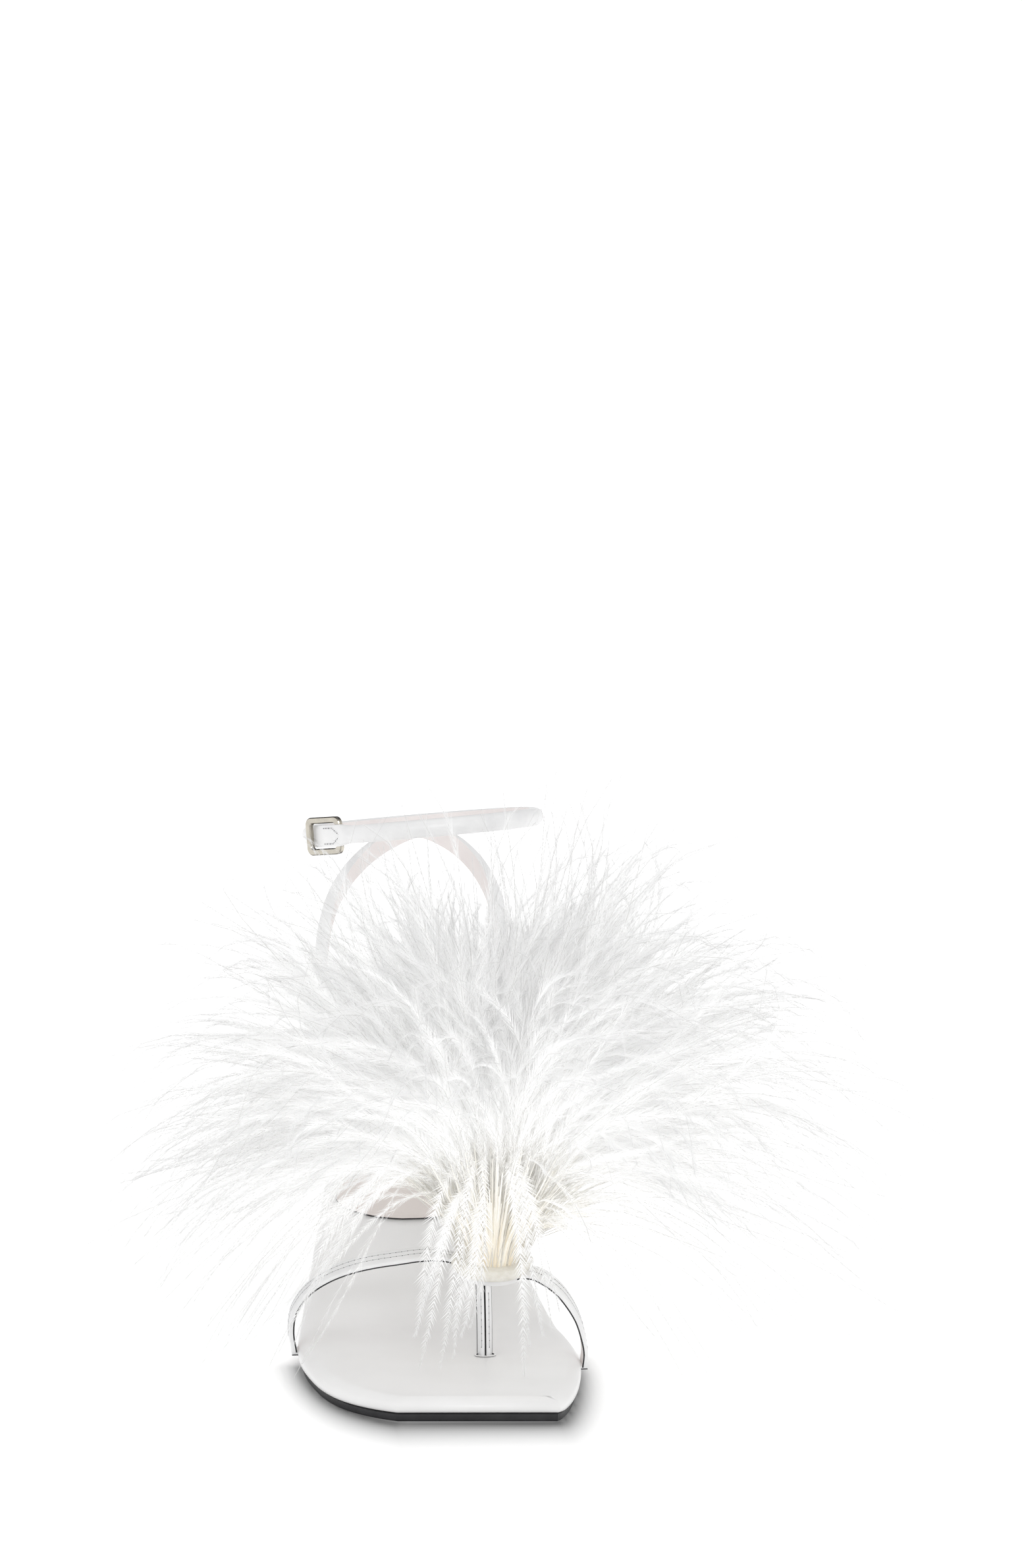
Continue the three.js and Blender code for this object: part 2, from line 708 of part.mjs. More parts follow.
// Heel. down: share of its height. back, front, half: how far each side has slimmed from seat to foot
const heelRows = [
  { down: -0.10, back: 0.00, front: 0.00, half: 0.00 },
  { down: 0.00, back: 0.02, front: 0.02, half: 0.02 },
  { down: 0.08, back: 0.16, front: 0.34, half: 0.26 },
  { down: 0.20, back: 0.38, front: 0.62, half: 0.55 },
  { down: 0.38, back: 0.66, front: 0.83, half: 0.80 },
  { down: 0.62, back: 0.88, front: 0.95, half: 0.94 },
  { down: 1.00, back: 1.00, front: 1.00, half: 1.00 },
];
const heelBackX = seatBackPoint.x + heelInset;
const heelFrontX = groundAt(breast).point.x;
const heelFootX = heelBackX + heelFootBack;
const seatHalf = (sideAt(medialEdge, loopAlong) - sideAt(lateralEdge, loopAlong)) / 2 - heelInset;
const heelMiddle = (sideAt(medialEdge, loopAlong) + sideAt(lateralEdge, loopAlong)) / 2;
const heelTopZ = heelRise + outsoleThickness;
const heelBottomZ = topPieceHeight + gap;

function heelSection(back, front, half, z) {
  const centre = (back + front) / 2;
  const reach = (front - back) / 2;
  const ring = [];
  const sides = 22;
  for (let side = 0; side < sides; side += 1) {
    const turn = (side / sides) * Math.PI * 2;
    const [c, s] = [Math.cos(turn), Math.sin(turn)];
    const squareness = c > 0 ? 0.7 : 0.95;
    const x = centre + reach * Math.sign(c) * Math.abs(c) ** squareness;
    const y = heelMiddle + half * Math.sign(s) * Math.abs(s) ** squareness;
    ring.push(new THREE.Vector3(x, y, z));
  }
  return ring;
}

function heelRing({ down, back, front, half }) {
  return heelSection(
    THREE.MathUtils.lerp(heelBackX, heelFootX, back),
    THREE.MathUtils.lerp(heelFrontX, heelFootX + heelFootLength, front),
    THREE.MathUtils.lerp(seatHalf, heelFootWidth / 2, half),
    THREE.MathUtils.lerp(heelTopZ, heelBottomZ, down),
  );
}

const seatCutter = soleLayer(fullPairs, [
  { inset: -cutterMargin, height: outsoleThickness },
  { inset: -cutterMargin, height: outsoleThickness + cutterHeight },
]);
const outsoleRoom = soleLayer(stationsBetween(breast, breast + 2 * cutterHeight), [
  { inset: -cutterMargin, height: -gap },
  { inset: -cutterMargin, height: outsoleThickness + 1 },
]);
const heel = solidOf(loft([...heelRows].reverse().map(heelRing)))
  .subtract(solidOf(seatCutter))
  .subtract(solidOf(outsoleRoom));

const topPieceLevels = [
  { trim: topPieceBreak, z: 0 },
  { trim: 0, z: topPieceBreak },
  { trim: 0, z: topPieceHeight },
];
const topPiece = loft(topPieceLevels.map(({ trim, z }) => heelSection(
  heelFootX + trim,
  heelFootX + heelFootLength - trim,
  heelFootWidth / 2 - trim,
  z,
)));

// Feathers: tapering locks fused on a trunk

const bloomBase = discThickness + gap;

// points: the lock's path. Its section is a flat pentagon that swells and then tapers to the tip
function lock(points, width, thickness, grow = 0) {
  const path = new THREE.CubicBezierCurve3(...points);
  const swell = [0.3, 0.7, 1.0, 0.92, 0.55, 0.07];
  const rings = swell.map((size, index) => {
    const share = index / (swell.length - 1);
    const centre = path.getPoint(share);
    const tangent = path.getTangent(share);
    const across = new THREE.Vector3().crossVectors(upward, tangent);
    if (across.lengthSq() < 0.01) across.set(0, 1, 0);
    across.normalize();
    const over = new THREE.Vector3().crossVectors(tangent, across);
    const ring = [];
    for (let side = 0; side < lockSides; side += 1) {
      const turn = (side / lockSides) * Math.PI * 2;
      ring.push(centre.clone()
        .addScaledVector(across, (size * width / 2 + grow) * Math.cos(turn))
        .addScaledVector(over, (size * thickness / 2 + grow) * Math.sin(turn)));
    }
    return ring;
  });
  return solidOf(loft(rings));
}

function direction(turn, lift) {
  const [around, above] = [THREE.MathUtils.degToRad(turn), THREE.MathUtils.degToRad(lift)];
  const level = Math.cos(above);
  return new THREE.Vector3(level * Math.cos(around), level * Math.sin(around), Math.sin(above));
}

// How far feathers reach in a direction, as a share of featherReach
function reachShare(way) {
  const [wide, low] = [Math.abs(way.y), Math.max(-way.z, 0)];
  return 0.78 + 0.26 * wide + 0.04 * Math.max(way.z, 0) + 0.4 * low * wide;
}

function topLock(way, reach, width, thickness) {
  const root = onDisc(way.x * bloomRing, way.y * bloomRing, bloomMiddle);
  const level = 1 - Math.abs(way.z);
  const tip = root.clone().addScaledVector(way, reach - bloomRing);
  tip.z -= reach * 0.1 * level;
  const first = root.clone().addScaledVector(way, reach * 0.3);
  first.z += reach * 0.12 * level;
  const second = root.clone().addScaledVector(way, reach * 0.7);
  second.z += reach * 0.06 * level;
  return lock([root, first, second, tip], width, thickness);
}

// Lowest lift of the feathers round the bunch: high in front, over the quills, and low at the sides.
// turn, lift: degrees
const lowRows = [
  { turn: 0, lift: 20 },
  { turn: 35, lift: 12 },
  { turn: 60, lift: -12 },
  { turn: 90, lift: -34 },
  { turn: 130, lift: -20 },
  { turn: 180, lift: -4 },
  { turn: 230, lift: -10 },
  { turn: 270, lift: -16 },
  { turn: 305, lift: -10 },
  { turn: 325, lift: 12 },
  { turn: 360, lift: 20 },
];

function lowLift(turn) {
  const row = lowRows.findIndex((entry) => entry.turn > turn) - 1;
  const [start, end] = [lowRows[row], lowRows[row + 1]];
  return THREE.MathUtils.mapLinear(turn, start.turn, end.turn, start.lift, end.lift);
}

// Longest plumes of the top bunch. turn, lift: degrees. reach: share of featherReach
const plumeRows = [
  { turn: 74, lift: 64, reach: 1.06 },
  { turn: 86, lift: 50, reach: 1.05 },
  { turn: 270, lift: 76, reach: 0.97 },
  { turn: 275, lift: 40, reach: 0.98 },
  { turn: 263, lift: 26, reach: 0.97 },
  { turn: 276, lift: 8, reach: 1.01 },
  { turn: 270, lift: -4, reach: 1.10 },
  { turn: 85, lift: 31, reach: 0.95 },
  { turn: 98, lift: 19, reach: 1.03 },
  { turn: 84, lift: 9, reach: 1.08 },
  { turn: 94, lift: -9, reach: 1.31 },
  { turn: 87, lift: -20, reach: 1.29 },
  { turn: 141, lift: 40, reach: 0.97 },
  { turn: 205, lift: 35, reach: 0.95 },
  { turn: 20, lift: 29, reach: 0.86 },
  { turn: 331, lift: 24, reach: 0.83 },
];

// Dense middle of the top bunch. height, radius: shares of its height and radius
const bloomRows = [
  { height: 0.28, radius: 0.27 },
  { height: 0.40, radius: 0.55 },
  { height: 0.52, radius: 0.88 },
  { height: 0.66, radius: 1.00 },
  { height: 0.82, radius: 0.84 },
  { height: 0.94, radius: 0.48 },
  { height: 1.00, radius: 0.00 },
];

function topBunch() {
  const outline = [
    new THREE.Vector2(0, bloomBase),
    new THREE.Vector2(trunkRadius, bloomBase),
    new THREE.Vector2(trunkRadius, trunkHeight),
    ...bloomRows.map(({ height, radius }) => new THREE.Vector2(radius * bloomRadius, height * bloomHeight)),
  ];
  const bloom = new THREE.LatheGeometry(outline, 16);
  bloom.rotateX(Math.PI / 2);
  bloom.applyMatrix4(discTurn);
  bloom.scale(1, bloomSpread, 1);
  bloom.translate(discCentre.x, discCentre.y, discCentre.z);
  const lengths = [1, 0.88, 1.04, 0.93, 1.08, 0.85, 0.98];
  const locks = [];
  const lowest = Math.sin(THREE.MathUtils.degToRad(lowestLift));
  for (let index = 0; index < candidateCount; index += 1) {
    const height = THREE.MathUtils.lerp(lowest, 1, (index + 0.5) / candidateCount);
    const lift = THREE.MathUtils.radToDeg(Math.asin(height));
    const turn = (index * goldenAngle) % 360;
    if (lift < lowLift(turn)) continue;
    const way = direction(turn, lift);
    const reach = featherReach * reachShare(way) * lengths[index % lengths.length];
    locks.push(topLock(way, reach, featherWidth, featherThickness));
  }
  for (const { turn, lift, reach } of plumeRows) {
    const [width, thickness] = [featherWidth * plumeShare, featherThickness * plumeShare];
    locks.push(topLock(direction(turn, lift), reach * featherReach, width, thickness));
  }
  return wasm.Manifold.union([solidOf(bloom), ...locks]);
}

// Falling side bunches. turn: degrees from straight out to the side, towards the toe.
// reach: share of fallReach, level. drop: height of the tip above the ground, as a share of fallReach
const fallRows = [
  { turn: -34, reach: 0.86, drop: 0.42 },
  { turn: -16, reach: 0.98, drop: 0.34 },
  { turn: 0, reach: 1.04, drop: 0.26 },
  { turn: 12, reach: 0.98, drop: 0.16 },
  { turn: 22, reach: 0.90, drop: 0.12 },
  { turn: 32, reach: 0.80, drop: 0.07 },
  { turn: 44, reach: 0.70, drop: 0.12 },
];

function fallBunch(sign, stretch, arch, grow = 0) {
  const level = bloomBase + fallRootHeight / 2;
  const inner = trunkRadius + 1 + gap;
  const outer = discRadius - 0.8;
  const middle = (inner + outer) / 2;
  const from = onDisc(-5, sign * middle, level);
  const to = onDisc(5, sign * middle, level);
  let bunch = tuck(from, to, discUp, outer - inner, fallRootHeight, grow);
  for (const { turn, reach, drop } of fallRows) {
    const around = THREE.MathUtils.degToRad(turn);
    const way = new THREE.Vector3(Math.sin(around), sign * Math.cos(around), 0);
    const root = onDisc(way.x * 6, sign * middle, level);
    const length = fallReach * reach * stretch;
    const tip = root.clone().addScaledVector(way, length);
    tip.z = drop * fallReach;
    const first = root.clone().addScaledVector(way, length * 0.35);
    first.z += length * arch;
    const second = root.clone().addScaledVector(way, length * 0.8);
    second.z = THREE.MathUtils.lerp(tip.z, first.z, 0.62);
    bunch = bunch.add(lock([root, first, second, tip], fallWidth, fallThickness, grow));
  }
  return bunch;
}

const lateralFall = fallBunch(-1, lateralStretch, lateralArch);
const medialFall = fallBunch(1, medialStretch, medialArch);
const fallRoom = fallBunch(-1, lateralStretch, lateralArch, gap)
  .add(fallBunch(1, medialStretch, medialArch, gap));

function largestPiece(solid) {
  return solid.decompose().sort((a, b) => b.volume() - a.volume())[0];
}

const topFeathers = largestPiece(topBunch().subtract(fallRoom));

// Finishes

function finish(color, roughness, metalness = 0) {
  return new THREE.MeshStandardMaterial({ color, roughness, metalness });
}

const whiteLeather = finish(0xf1f0ee, 0.38);
const sockLeather = finish(0xe6d9d2, 0.55);
const blackSole = finish(0x0d0d0e, 0.5);
const nickel = finish(0xb9b2a2, 0.22, 1);
const felt = finish(0xf3efe4, 0.9);
const feather = finish(0xfaf9f5, 0.85);

function piece(name, geometry, material) {
  const mesh = new THREE.Mesh(geometry, material);
  mesh.name = name;
  return mesh;
}

const sandal = new THREE.Group();
sandal.add(piece('outsole', outsole, blackSole));
sandal.add(piece('footbed', geometryOf(footbed), whiteLeather));
sandal.add(piece('heel_sock', heelSock, sockLeather));
sandal.add(piece('heel', geometryOf(heel), whiteLeather));
sandal.add(piece('heel_top_piece', topPiece, blackSole));
sandal.add(piece('vamp_straps', geometryOf(vampStraps), whiteLeather));
sandal.add(piece('ankle_strap', geometryOf(ankleStrap), whiteLeather));
sandal.add(piece('buckle_frame', buckleFrame(), nickel));
sandal.add(piece('feather_base', geometryOf(solidOf(feltDisc)), felt));
sandal.add(piece('feather_bunch_top', geometryOf(topFeathers), feather));
sandal.add(piece('feather_bunch_lateral', geometryOf(lateralFall), feather));
sandal.add(piece('feather_bunch_medial', geometryOf(medialFall), feather));

export default sandal;
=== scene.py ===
"""Feather sandal, the right shoe: the looks of each piece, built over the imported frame."""
import math

import bpy
import numpy as np
from mathutils import Matrix, Vector


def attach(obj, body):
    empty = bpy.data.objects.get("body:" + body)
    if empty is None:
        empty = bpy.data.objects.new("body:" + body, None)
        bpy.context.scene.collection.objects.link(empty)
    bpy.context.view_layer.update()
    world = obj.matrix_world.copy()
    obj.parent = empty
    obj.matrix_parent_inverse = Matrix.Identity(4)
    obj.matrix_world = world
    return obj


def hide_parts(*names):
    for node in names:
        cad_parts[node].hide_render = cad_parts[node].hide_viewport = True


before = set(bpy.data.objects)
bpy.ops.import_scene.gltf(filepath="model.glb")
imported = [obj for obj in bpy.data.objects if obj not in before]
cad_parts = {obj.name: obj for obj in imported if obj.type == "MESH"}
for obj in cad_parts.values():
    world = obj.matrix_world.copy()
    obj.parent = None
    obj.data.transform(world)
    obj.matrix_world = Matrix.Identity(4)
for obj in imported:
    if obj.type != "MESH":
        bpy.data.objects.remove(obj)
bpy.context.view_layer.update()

MM = 0.001
rng = np.random.default_rng(11)


# Small helpers for vectors and curves

def vec(*values):
    return np.array(values, float)


def unit(v):
    v = np.asarray(v, float)
    return v / np.maximum(np.linalg.norm(v, axis=-1, keepdims=True), 1e-9)


def mix(a, b, share):
    return a + (b - a) * share


def round_turns(count):
    """Angles in equal steps round a full turn"""
    return np.linspace(0, 2 * math.pi, count, endpoint=False)


def smoothstep(value, low, high):
    t = np.clip((value - low) / (high - low), 0, 1)
    return t * t * (3 - 2 * t)


def smooth_curve(points, shares):
    """Points and tangents of a centripetal curve through points, at shares of its way."""
    points = np.asarray(points, float)
    ends = [2 * points[0] - points[1]], [2 * points[-1] - points[-2]]
    padded = np.concatenate([ends[0], points, ends[1]])
    spans = len(points) - 1
    place = np.clip(np.asarray(shares, float), 0, 1) * spans
    slot = np.minimum(place.astype(int), spans - 1)
    t = (place - slot)[:, None]
    p0, p1, p2, p3 = (padded[slot + step] for step in range(4))
    d0, d1, d2 = (
        np.maximum(np.linalg.norm(b - a, axis=1, keepdims=True), 1e-8) ** 0.5
        for a, b in ((p0, p1), (p1, p2), (p2, p3))
    )
    m1 = ((p1 - p0) / d0 - (p2 - p0) / (d0 + d1) + (p2 - p1) / d1) * d1
    m2 = ((p2 - p1) / d1 - (p3 - p1) / (d1 + d2) + (p3 - p2) / d2) * d1
    at = (
        (2 * t**3 - 3 * t**2 + 1) * p1 + (t**3 - 2 * t**2 + t) * m1
        + (3 * t**2 - 2 * t**3) * p2 + (t**3 - t**2) * m2
    )
    speed = (
        (6 * t**2 - 6 * t) * p1 + (3 * t**2 - 4 * t + 1) * m1
        + (6 * t - 6 * t**2) * p2 + (3 * t**2 - 2 * t) * m2
    )
    return at, unit(speed)


# Meshes

def make_piece(name, verts, faces, materials, slots=None, sharp=40, slot_name="white_leather"):
    """A piece in millimetres that rides on the shoe. slots: the material of each face."""
    mesh = bpy.data.meshes.new(name)
    mesh.from_pydata((np.asarray(verts, float) * MM).tolist(), [], [list(map(int, f)) for f in faces])
    for each in materials:
        mesh.materials.append(each)
    if slots is not None:
        mesh.polygons.foreach_set("material_index", np.asarray(slots, np.int32))
    mesh.polygons.foreach_set("use_smooth", np.ones(len(faces), bool))
    mesh.set_sharp_from_angle(angle=math.radians(sharp))
    mesh.update()
    piece = bpy.data.objects.new(name, mesh)
    bpy.context.scene.collection.objects.link(piece)
    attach(piece, "root")
    return piece


class Shape:
    """Verts, faces and material slots, gathered for one piece"""

    def __init__(self):
        self.verts = []
        self.faces = []
        self.slots = []
        self.count = 0

    def add(self, verts, faces, slots):
        self.verts.append(np.asarray(verts, float).reshape(-1, 3))
        self.faces += [[int(i) + self.count for i in face] for face in faces]
        self.slots += [slots] * len(faces) if isinstance(slots, int) else list(slots)
        self.count += len(self.verts[-1])

    def piece(self, name, materials, **words):
        return make_piece(name, np.concatenate(self.verts), self.faces, materials, self.slots, **words)


def skin(rings, side_slots=None, closed=False, caps=True):
    """Faces through rings of equally many points, with the material of each face"""
    rings = np.asarray(rings, float)
    count, sides = rings.shape[:2]
    faces, slots = [], []
    for ring in range(count if closed else count - 1):
        low, high = ring * sides, ((ring + 1) % count) * sides
        for side in range(sides):
            after = (side + 1) % sides
            faces.append([low + side, low + after, high + after, high + side])
            slots.append(side_slots[side] if side_slots is not None else 0)
    if caps and not closed:
        faces.append(list(range(sides))[::-1])
        faces.append([(count - 1) * sides + side for side in range(sides)])
        slots += [0, 0]
    return rings.reshape(-1, 3), faces, slots


# Shader groups and materials

# Colour sockets of a Mix node, which shares its socket names with other types
MIX_FIRST, MIX_SECOND, MIX_RESULT = 6, 7, 2
# How much rougher the roughest spot of a finish is than its smoothest
GLOSS_SPREAD = 0.1


def new_group(name, inputs, outputs):
    group = bpy.data.node_groups.new(name, "ShaderNodeTree")
    for label, kind, value in inputs:
        socket = group.interface.new_socket(label, in_out="INPUT", socket_type=kind)
        if value is not None:
            socket.default_value = value
    for label, kind in outputs:
        group.interface.new_socket(label, in_out="OUTPUT", socket_type=kind)
    ins = group.nodes.new("NodeGroupInput")
    outs = group.nodes.new("NodeGroupOutput")
    return group, ins, outs


def set_inputs(made, inputs):
    for key, value in inputs.items():
        made.inputs[key].default_value = value


def node(tree, kind, **settings):
    made = tree.nodes.new(kind)
    inputs = settings.pop("inputs", {})
    for key, value in settings.items():
        setattr(made, key, value)
    set_inputs(made, inputs)
    return made


def wire(tree, *rows):
    """Links, from rows of a node, its output, the next node and that node's input"""
    for start, output, end, entry in rows:
        tree.links.new(start.outputs[output], end.inputs[entry])


def new_material(name):
    """A material, its node tree and its shader"""
    made = bpy.data.materials.new(name)
    made.use_nodes = True
    return made, made.node_tree, made.node_tree.nodes["Principled BSDF"]


def build_grain_group():
    """Fine leather or felt grain: pores, and slow waves of the surface"""
    group, ins, outs = new_group(
        "surface_grain",
        [("Pores per metre", "NodeSocketFloat", 1500.0), ("Waves per metre", "NodeSocketFloat", 60.0),
         ("Pore share", "NodeSocketFloat", 0.6)],
        [("Height", "NodeSocketFloat"), ("Waves", "NodeSocketFloat"), ("Pores", "NodeSocketFloat")],
    )
    place = node(group, "ShaderNodeTexCoord")
    pores = node(group, "ShaderNodeTexVoronoi", feature="SMOOTH_F1", inputs={"Smoothness": 0.6})
    fine = node(group, "ShaderNodeTexNoise", inputs={"Detail": 4.0, "Roughness": 0.6})
    waves = node(group, "ShaderNodeTexNoise", inputs={"Detail": 2.0, "Roughness": 0.5})
    join = node(group, "ShaderNodeMix", data_type="FLOAT", inputs={"Factor": 0.5})
    total = node(group, "ShaderNodeMix", data_type="FLOAT")
    wire(
        group,
        *((place, "Object", texture, "Vector") for texture in (pores, fine, waves)),
        (ins, "Pores per metre", pores, "Scale"), (ins, "Pores per metre", fine, "Scale"),
        (ins, "Waves per metre", waves, "Scale"), (fine, "Fac", join, "A"), (pores, "Distance", join, "B"),
        (ins, "Pore share", total, "Factor"), (waves, "Fac", total, "A"), (join, "Result", total, "B"),
        (total, "Result", outs, "Height"), (waves, "Fac", outs, "Waves"), (join, "Result", outs, "Pores"),
    )
    return group


def build_tint_group():
    """Slow change between two tones over the surface"""
    group, ins, outs = new_group(
        "slow_tint",
        [("Light tone", "NodeSocketColor", (1, 1, 1, 1)),
         ("Dark tone", "NodeSocketColor", (0.8, 0.8, 0.8, 1)),
         ("Spots per metre", "NodeSocketFloat", 40.0)],
        [("Color", "NodeSocketColor"), ("Mask", "NodeSocketFloat")],
    )
    place = node(group, "ShaderNodeTexCoord")
    noise = node(group, "ShaderNodeTexNoise", inputs={"Detail": 3.0, "Roughness": 0.55})
    spread = node(group, "ShaderNodeMapRange", inputs={"From Min": 0.32, "From Max": 0.68})
    blend = node(group, "ShaderNodeMix", data_type="RGBA")
    wire(
        group,
        (place, "Object", noise, "Vector"), (ins, "Spots per metre", noise, "Scale"),
        (noise, "Fac", spread, "Value"), (spread, "Result", blend, "Factor"),
        (ins, "Dark tone", blend, MIX_FIRST), (ins, "Light tone", blend, MIX_SECOND),
        (blend, MIX_RESULT, outs, "Color"), (spread, "Result", outs, "Mask"),
    )
    return group


grain_group = build_grain_group()
tint_group = build_tint_group()


def finish_material(name, light, dark, rough, spots=40, pores=1500, waves=60, pore_share=0.6,
                    depth=0.00006, sheen=0.0, metallic=0.0, coat=0.0, coat_rough=0.2):
    """A finish whose tone, gloss and relief change slowly and finely over the surface"""
    made, tree, shader = new_material(name)
    tint = node(tree, "ShaderNodeGroup", node_tree=tint_group, inputs={
        "Light tone": (*light, 1), "Dark tone": (*dark, 1), "Spots per metre": spots})
    grain = node(tree, "ShaderNodeGroup", node_tree=grain_group, inputs={
        "Pores per metre": pores, "Waves per metre": waves, "Pore share": pore_share})
    gloss = node(tree, "ShaderNodeMapRange", inputs={
        "To Min": rough - GLOSS_SPREAD / 2, "To Max": rough + GLOSS_SPREAD / 2})
    bump = node(tree, "ShaderNodeBump", inputs={"Strength": 1.0, "Distance": depth})
    wire(
        tree,
        (tint, "Color", shader, "Base Color"), (grain, "Pores", gloss, "Value"),
        (gloss, "Result", shader, "Roughness"), (grain, "Height", bump, "Height"),
        (bump, "Normal", shader, "Normal"),
    )
    set_inputs(shader, {"Sheen Weight": sheen, "Metallic": metallic, "Coat Weight": coat,
                        "Coat Roughness": coat_rough})
    return made


white_leather = finish_material("white_leather", (0.90, 0.897, 0.894), (0.85, 0.845, 0.84), 0.34,
                                spots=30, pores=1800, waves=45, depth=0.00005, coat=0.15, coat_rough=0.25)
strap_leather = finish_material("strap_leather", (0.88, 0.88, 0.88), (0.80, 0.80, 0.805), 0.36,
                                spots=120, pores=2400, waves=180, depth=0.00005, coat=0.1)
sock_leather = finish_material("sock_leather", (0.82, 0.765, 0.735), (0.77, 0.71, 0.68), 0.5,
                               spots=50, pores=1600, depth=0.00007)
lining_leather = finish_material("lining_leather", (0.87, 0.825, 0.81), (0.81, 0.76, 0.75), 0.55,
                                 spots=90, pores=2000)
# Dark finish of raw leather edges, also used as painted shade where an edge or a gap lies in shadow
edge_paint_and_shade = finish_material("edge_paint_and_shade", (0.035, 0.034, 0.036), (0.012, 0.012, 0.014), 0.5,
                             spots=400, pores=3000, depth=0.00004)
black_sole = finish_material("black_sole", (0.022, 0.022, 0.025), (0.010, 0.010, 0.012), 0.42,
                             spots=150, pores=2600, depth=0.00006)
nickel = finish_material("nickel", (0.60, 0.565, 0.49), (0.50, 0.47, 0.41), 0.14,
                         spots=300, pores=3500, depth=0.00002, metallic=1.0)


def paint_dark_reflection(material, tone):
    """Painted reflection: darker tone where the surface faces up or down, standing in for the dark room that
    polished metal would mirror there
    """
    tree = material.node_tree
    shader = tree.nodes["Principled BSDF"]
    surface = node(tree, "ShaderNodeNewGeometry")
    parts = node(tree, "ShaderNodeSeparateXYZ")
    level = node(tree, "ShaderNodeMath", operation="ABSOLUTE")
    share = node(tree, "ShaderNodeMapRange", inputs={"From Min": 0.35, "From Max": 0.75})
    blend = node(tree, "ShaderNodeMix", data_type="RGBA", inputs={MIX_SECOND: (*tone, 1)})
    tree.links.new(shader.inputs["Base Color"].links[0].from_socket, blend.inputs[MIX_FIRST])
    wire(
        tree,
        (surface, "Normal", parts, "Vector"), (parts, "Z", level, 0), (level, 0, share, "Value"),
        (share, "Result", blend, "Factor"), (blend, MIX_RESULT, shader, "Base Color"),
    )


# Painted reflection on the nickel: darker where it faces up or down
paint_dark_reflection(nickel, (0.05, 0.045, 0.04))
felt = finish_material("felt", (0.90, 0.88, 0.82), (0.80, 0.77, 0.69), 0.95,
                       spots=500, pores=5000, waves=900, pore_share=0.5, depth=0.0004, sheen=0.4)
strap_finishes = [strap_leather, edge_paint_and_shade, lining_leather]
stitch_thread = finish_material("stitch_thread", (0.62, 0.62, 0.63), (0.45, 0.45, 0.46), 0.7,
                                spots=900, pores=6000)
# Needle holes are flat near-black discs: painted shade for the dark inside each hole
needle_hole_shade = finish_material("needle_hole_shade", (0.03, 0.03, 0.032), (0.015, 0.015, 0.016), 0.8, spots=900)
stitch_finishes = [needle_hole_shade, stitch_thread]


# Painted glow of the feathers, standing in for light that passes through the thin barbs, as a share of full
# white
PAINTED_THROUGH_GLOW = 0.065


def feather_material(name, root_tones, tip_tone, shaded_end_tone, shaft_tone):
    """Feather by the plume attribute: cream root, white above, greyer at the tip as painted shade and greyer
    on the shaft, with a painted glow, strongest at the root, for light through the barbs
    """
    made, tree, shader = new_material(name)
    reading = node(tree, "ShaderNodeAttribute", attribute_name="plume")
    parts = node(tree, "ShaderNodeSeparateColor")
    grain = node(tree, "ShaderNodeGroup", node_tree=grain_group, inputs={
        "Pores per metre": 2600, "Waves per metre": 120})
    root = node(tree, "ShaderNodeMix", data_type="RGBA", inputs={
        MIX_FIRST: (*root_tones[0], 1), MIX_SECOND: (*root_tones[1], 1)})
    blend = node(tree, "ShaderNodeMix", data_type="RGBA", inputs={MIX_SECOND: (*tip_tone, 1)})
    spread = node(tree, "ShaderNodeMapRange", inputs={"From Min": 0.04, "From Max": 0.32})
    # Painted shade: the last part of each frond fades to the greyer end tone
    tip = node(tree, "ShaderNodeMix", data_type="RGBA", inputs={MIX_SECOND: (*shaded_end_tone, 1)})
    fade = node(tree, "ShaderNodeMapRange", inputs={"From Min": 0.7, "To Max": 0.85})
    shaft = node(tree, "ShaderNodeMix", data_type="RGBA", inputs={MIX_SECOND: (*shaft_tone, 1)})
    share = node(tree, "ShaderNodeMath", operation="MULTIPLY", inputs={1: 0.75})
    gloss = node(tree, "ShaderNodeMapRange", inputs={"To Min": 0.7, "To Max": 0.95})
    # Painted glow: emission for light through the barbs, strongest at the root and weakest at the tip
    glow = node(tree, "ShaderNodeMapRange", inputs={
        "From Min": 0.2, "To Min": 2.1 * PAINTED_THROUGH_GLOW, "To Max": 0.2 * PAINTED_THROUGH_GLOW})
    wire(
        tree,
        (reading, "Color", parts, "Color"), (parts, "Green", root, "Factor"), (parts, "Red", spread, "Value"),
        (spread, "Result", blend, "Factor"), (root, MIX_RESULT, blend, MIX_FIRST),
        (parts, "Red", fade, "Value"), (fade, "Result", tip, "Factor"), (blend, MIX_RESULT, tip, MIX_FIRST),
        (parts, "Blue", share, 0), (share, 0, shaft, "Factor"), (tip, MIX_RESULT, shaft, MIX_FIRST),
        (shaft, MIX_RESULT, shader, "Base Color"), (shaft, MIX_RESULT, shader, "Emission Color"),
        (grain, "Pores", gloss, "Value"), (gloss, "Result", shader, "Roughness"),
        (parts, "Red", glow, "Value"), (glow, "Result", shader, "Emission Strength"),
    )
    set_inputs(shader, {"Sheen Weight": 0.1, "Specular IOR Level": 0.3})
    made.cycles.emission_sampling = "NONE"
    return made


plume_white = feather_material("plume_white", ((0.86, 0.81, 0.68), (0.93, 0.90, 0.82)),
                               (0.945, 0.945, 0.944), (0.79, 0.79, 0.793), (0.60, 0.595, 0.58))
quill_cream = feather_material("quill_cream", ((0.74, 0.63, 0.45), (0.93, 0.91, 0.84)),
                               (0.90, 0.885, 0.84), (0.84, 0.81, 0.72), (0.7, 0.66, 0.56))


# Sole: the same side profile and outline as the solids

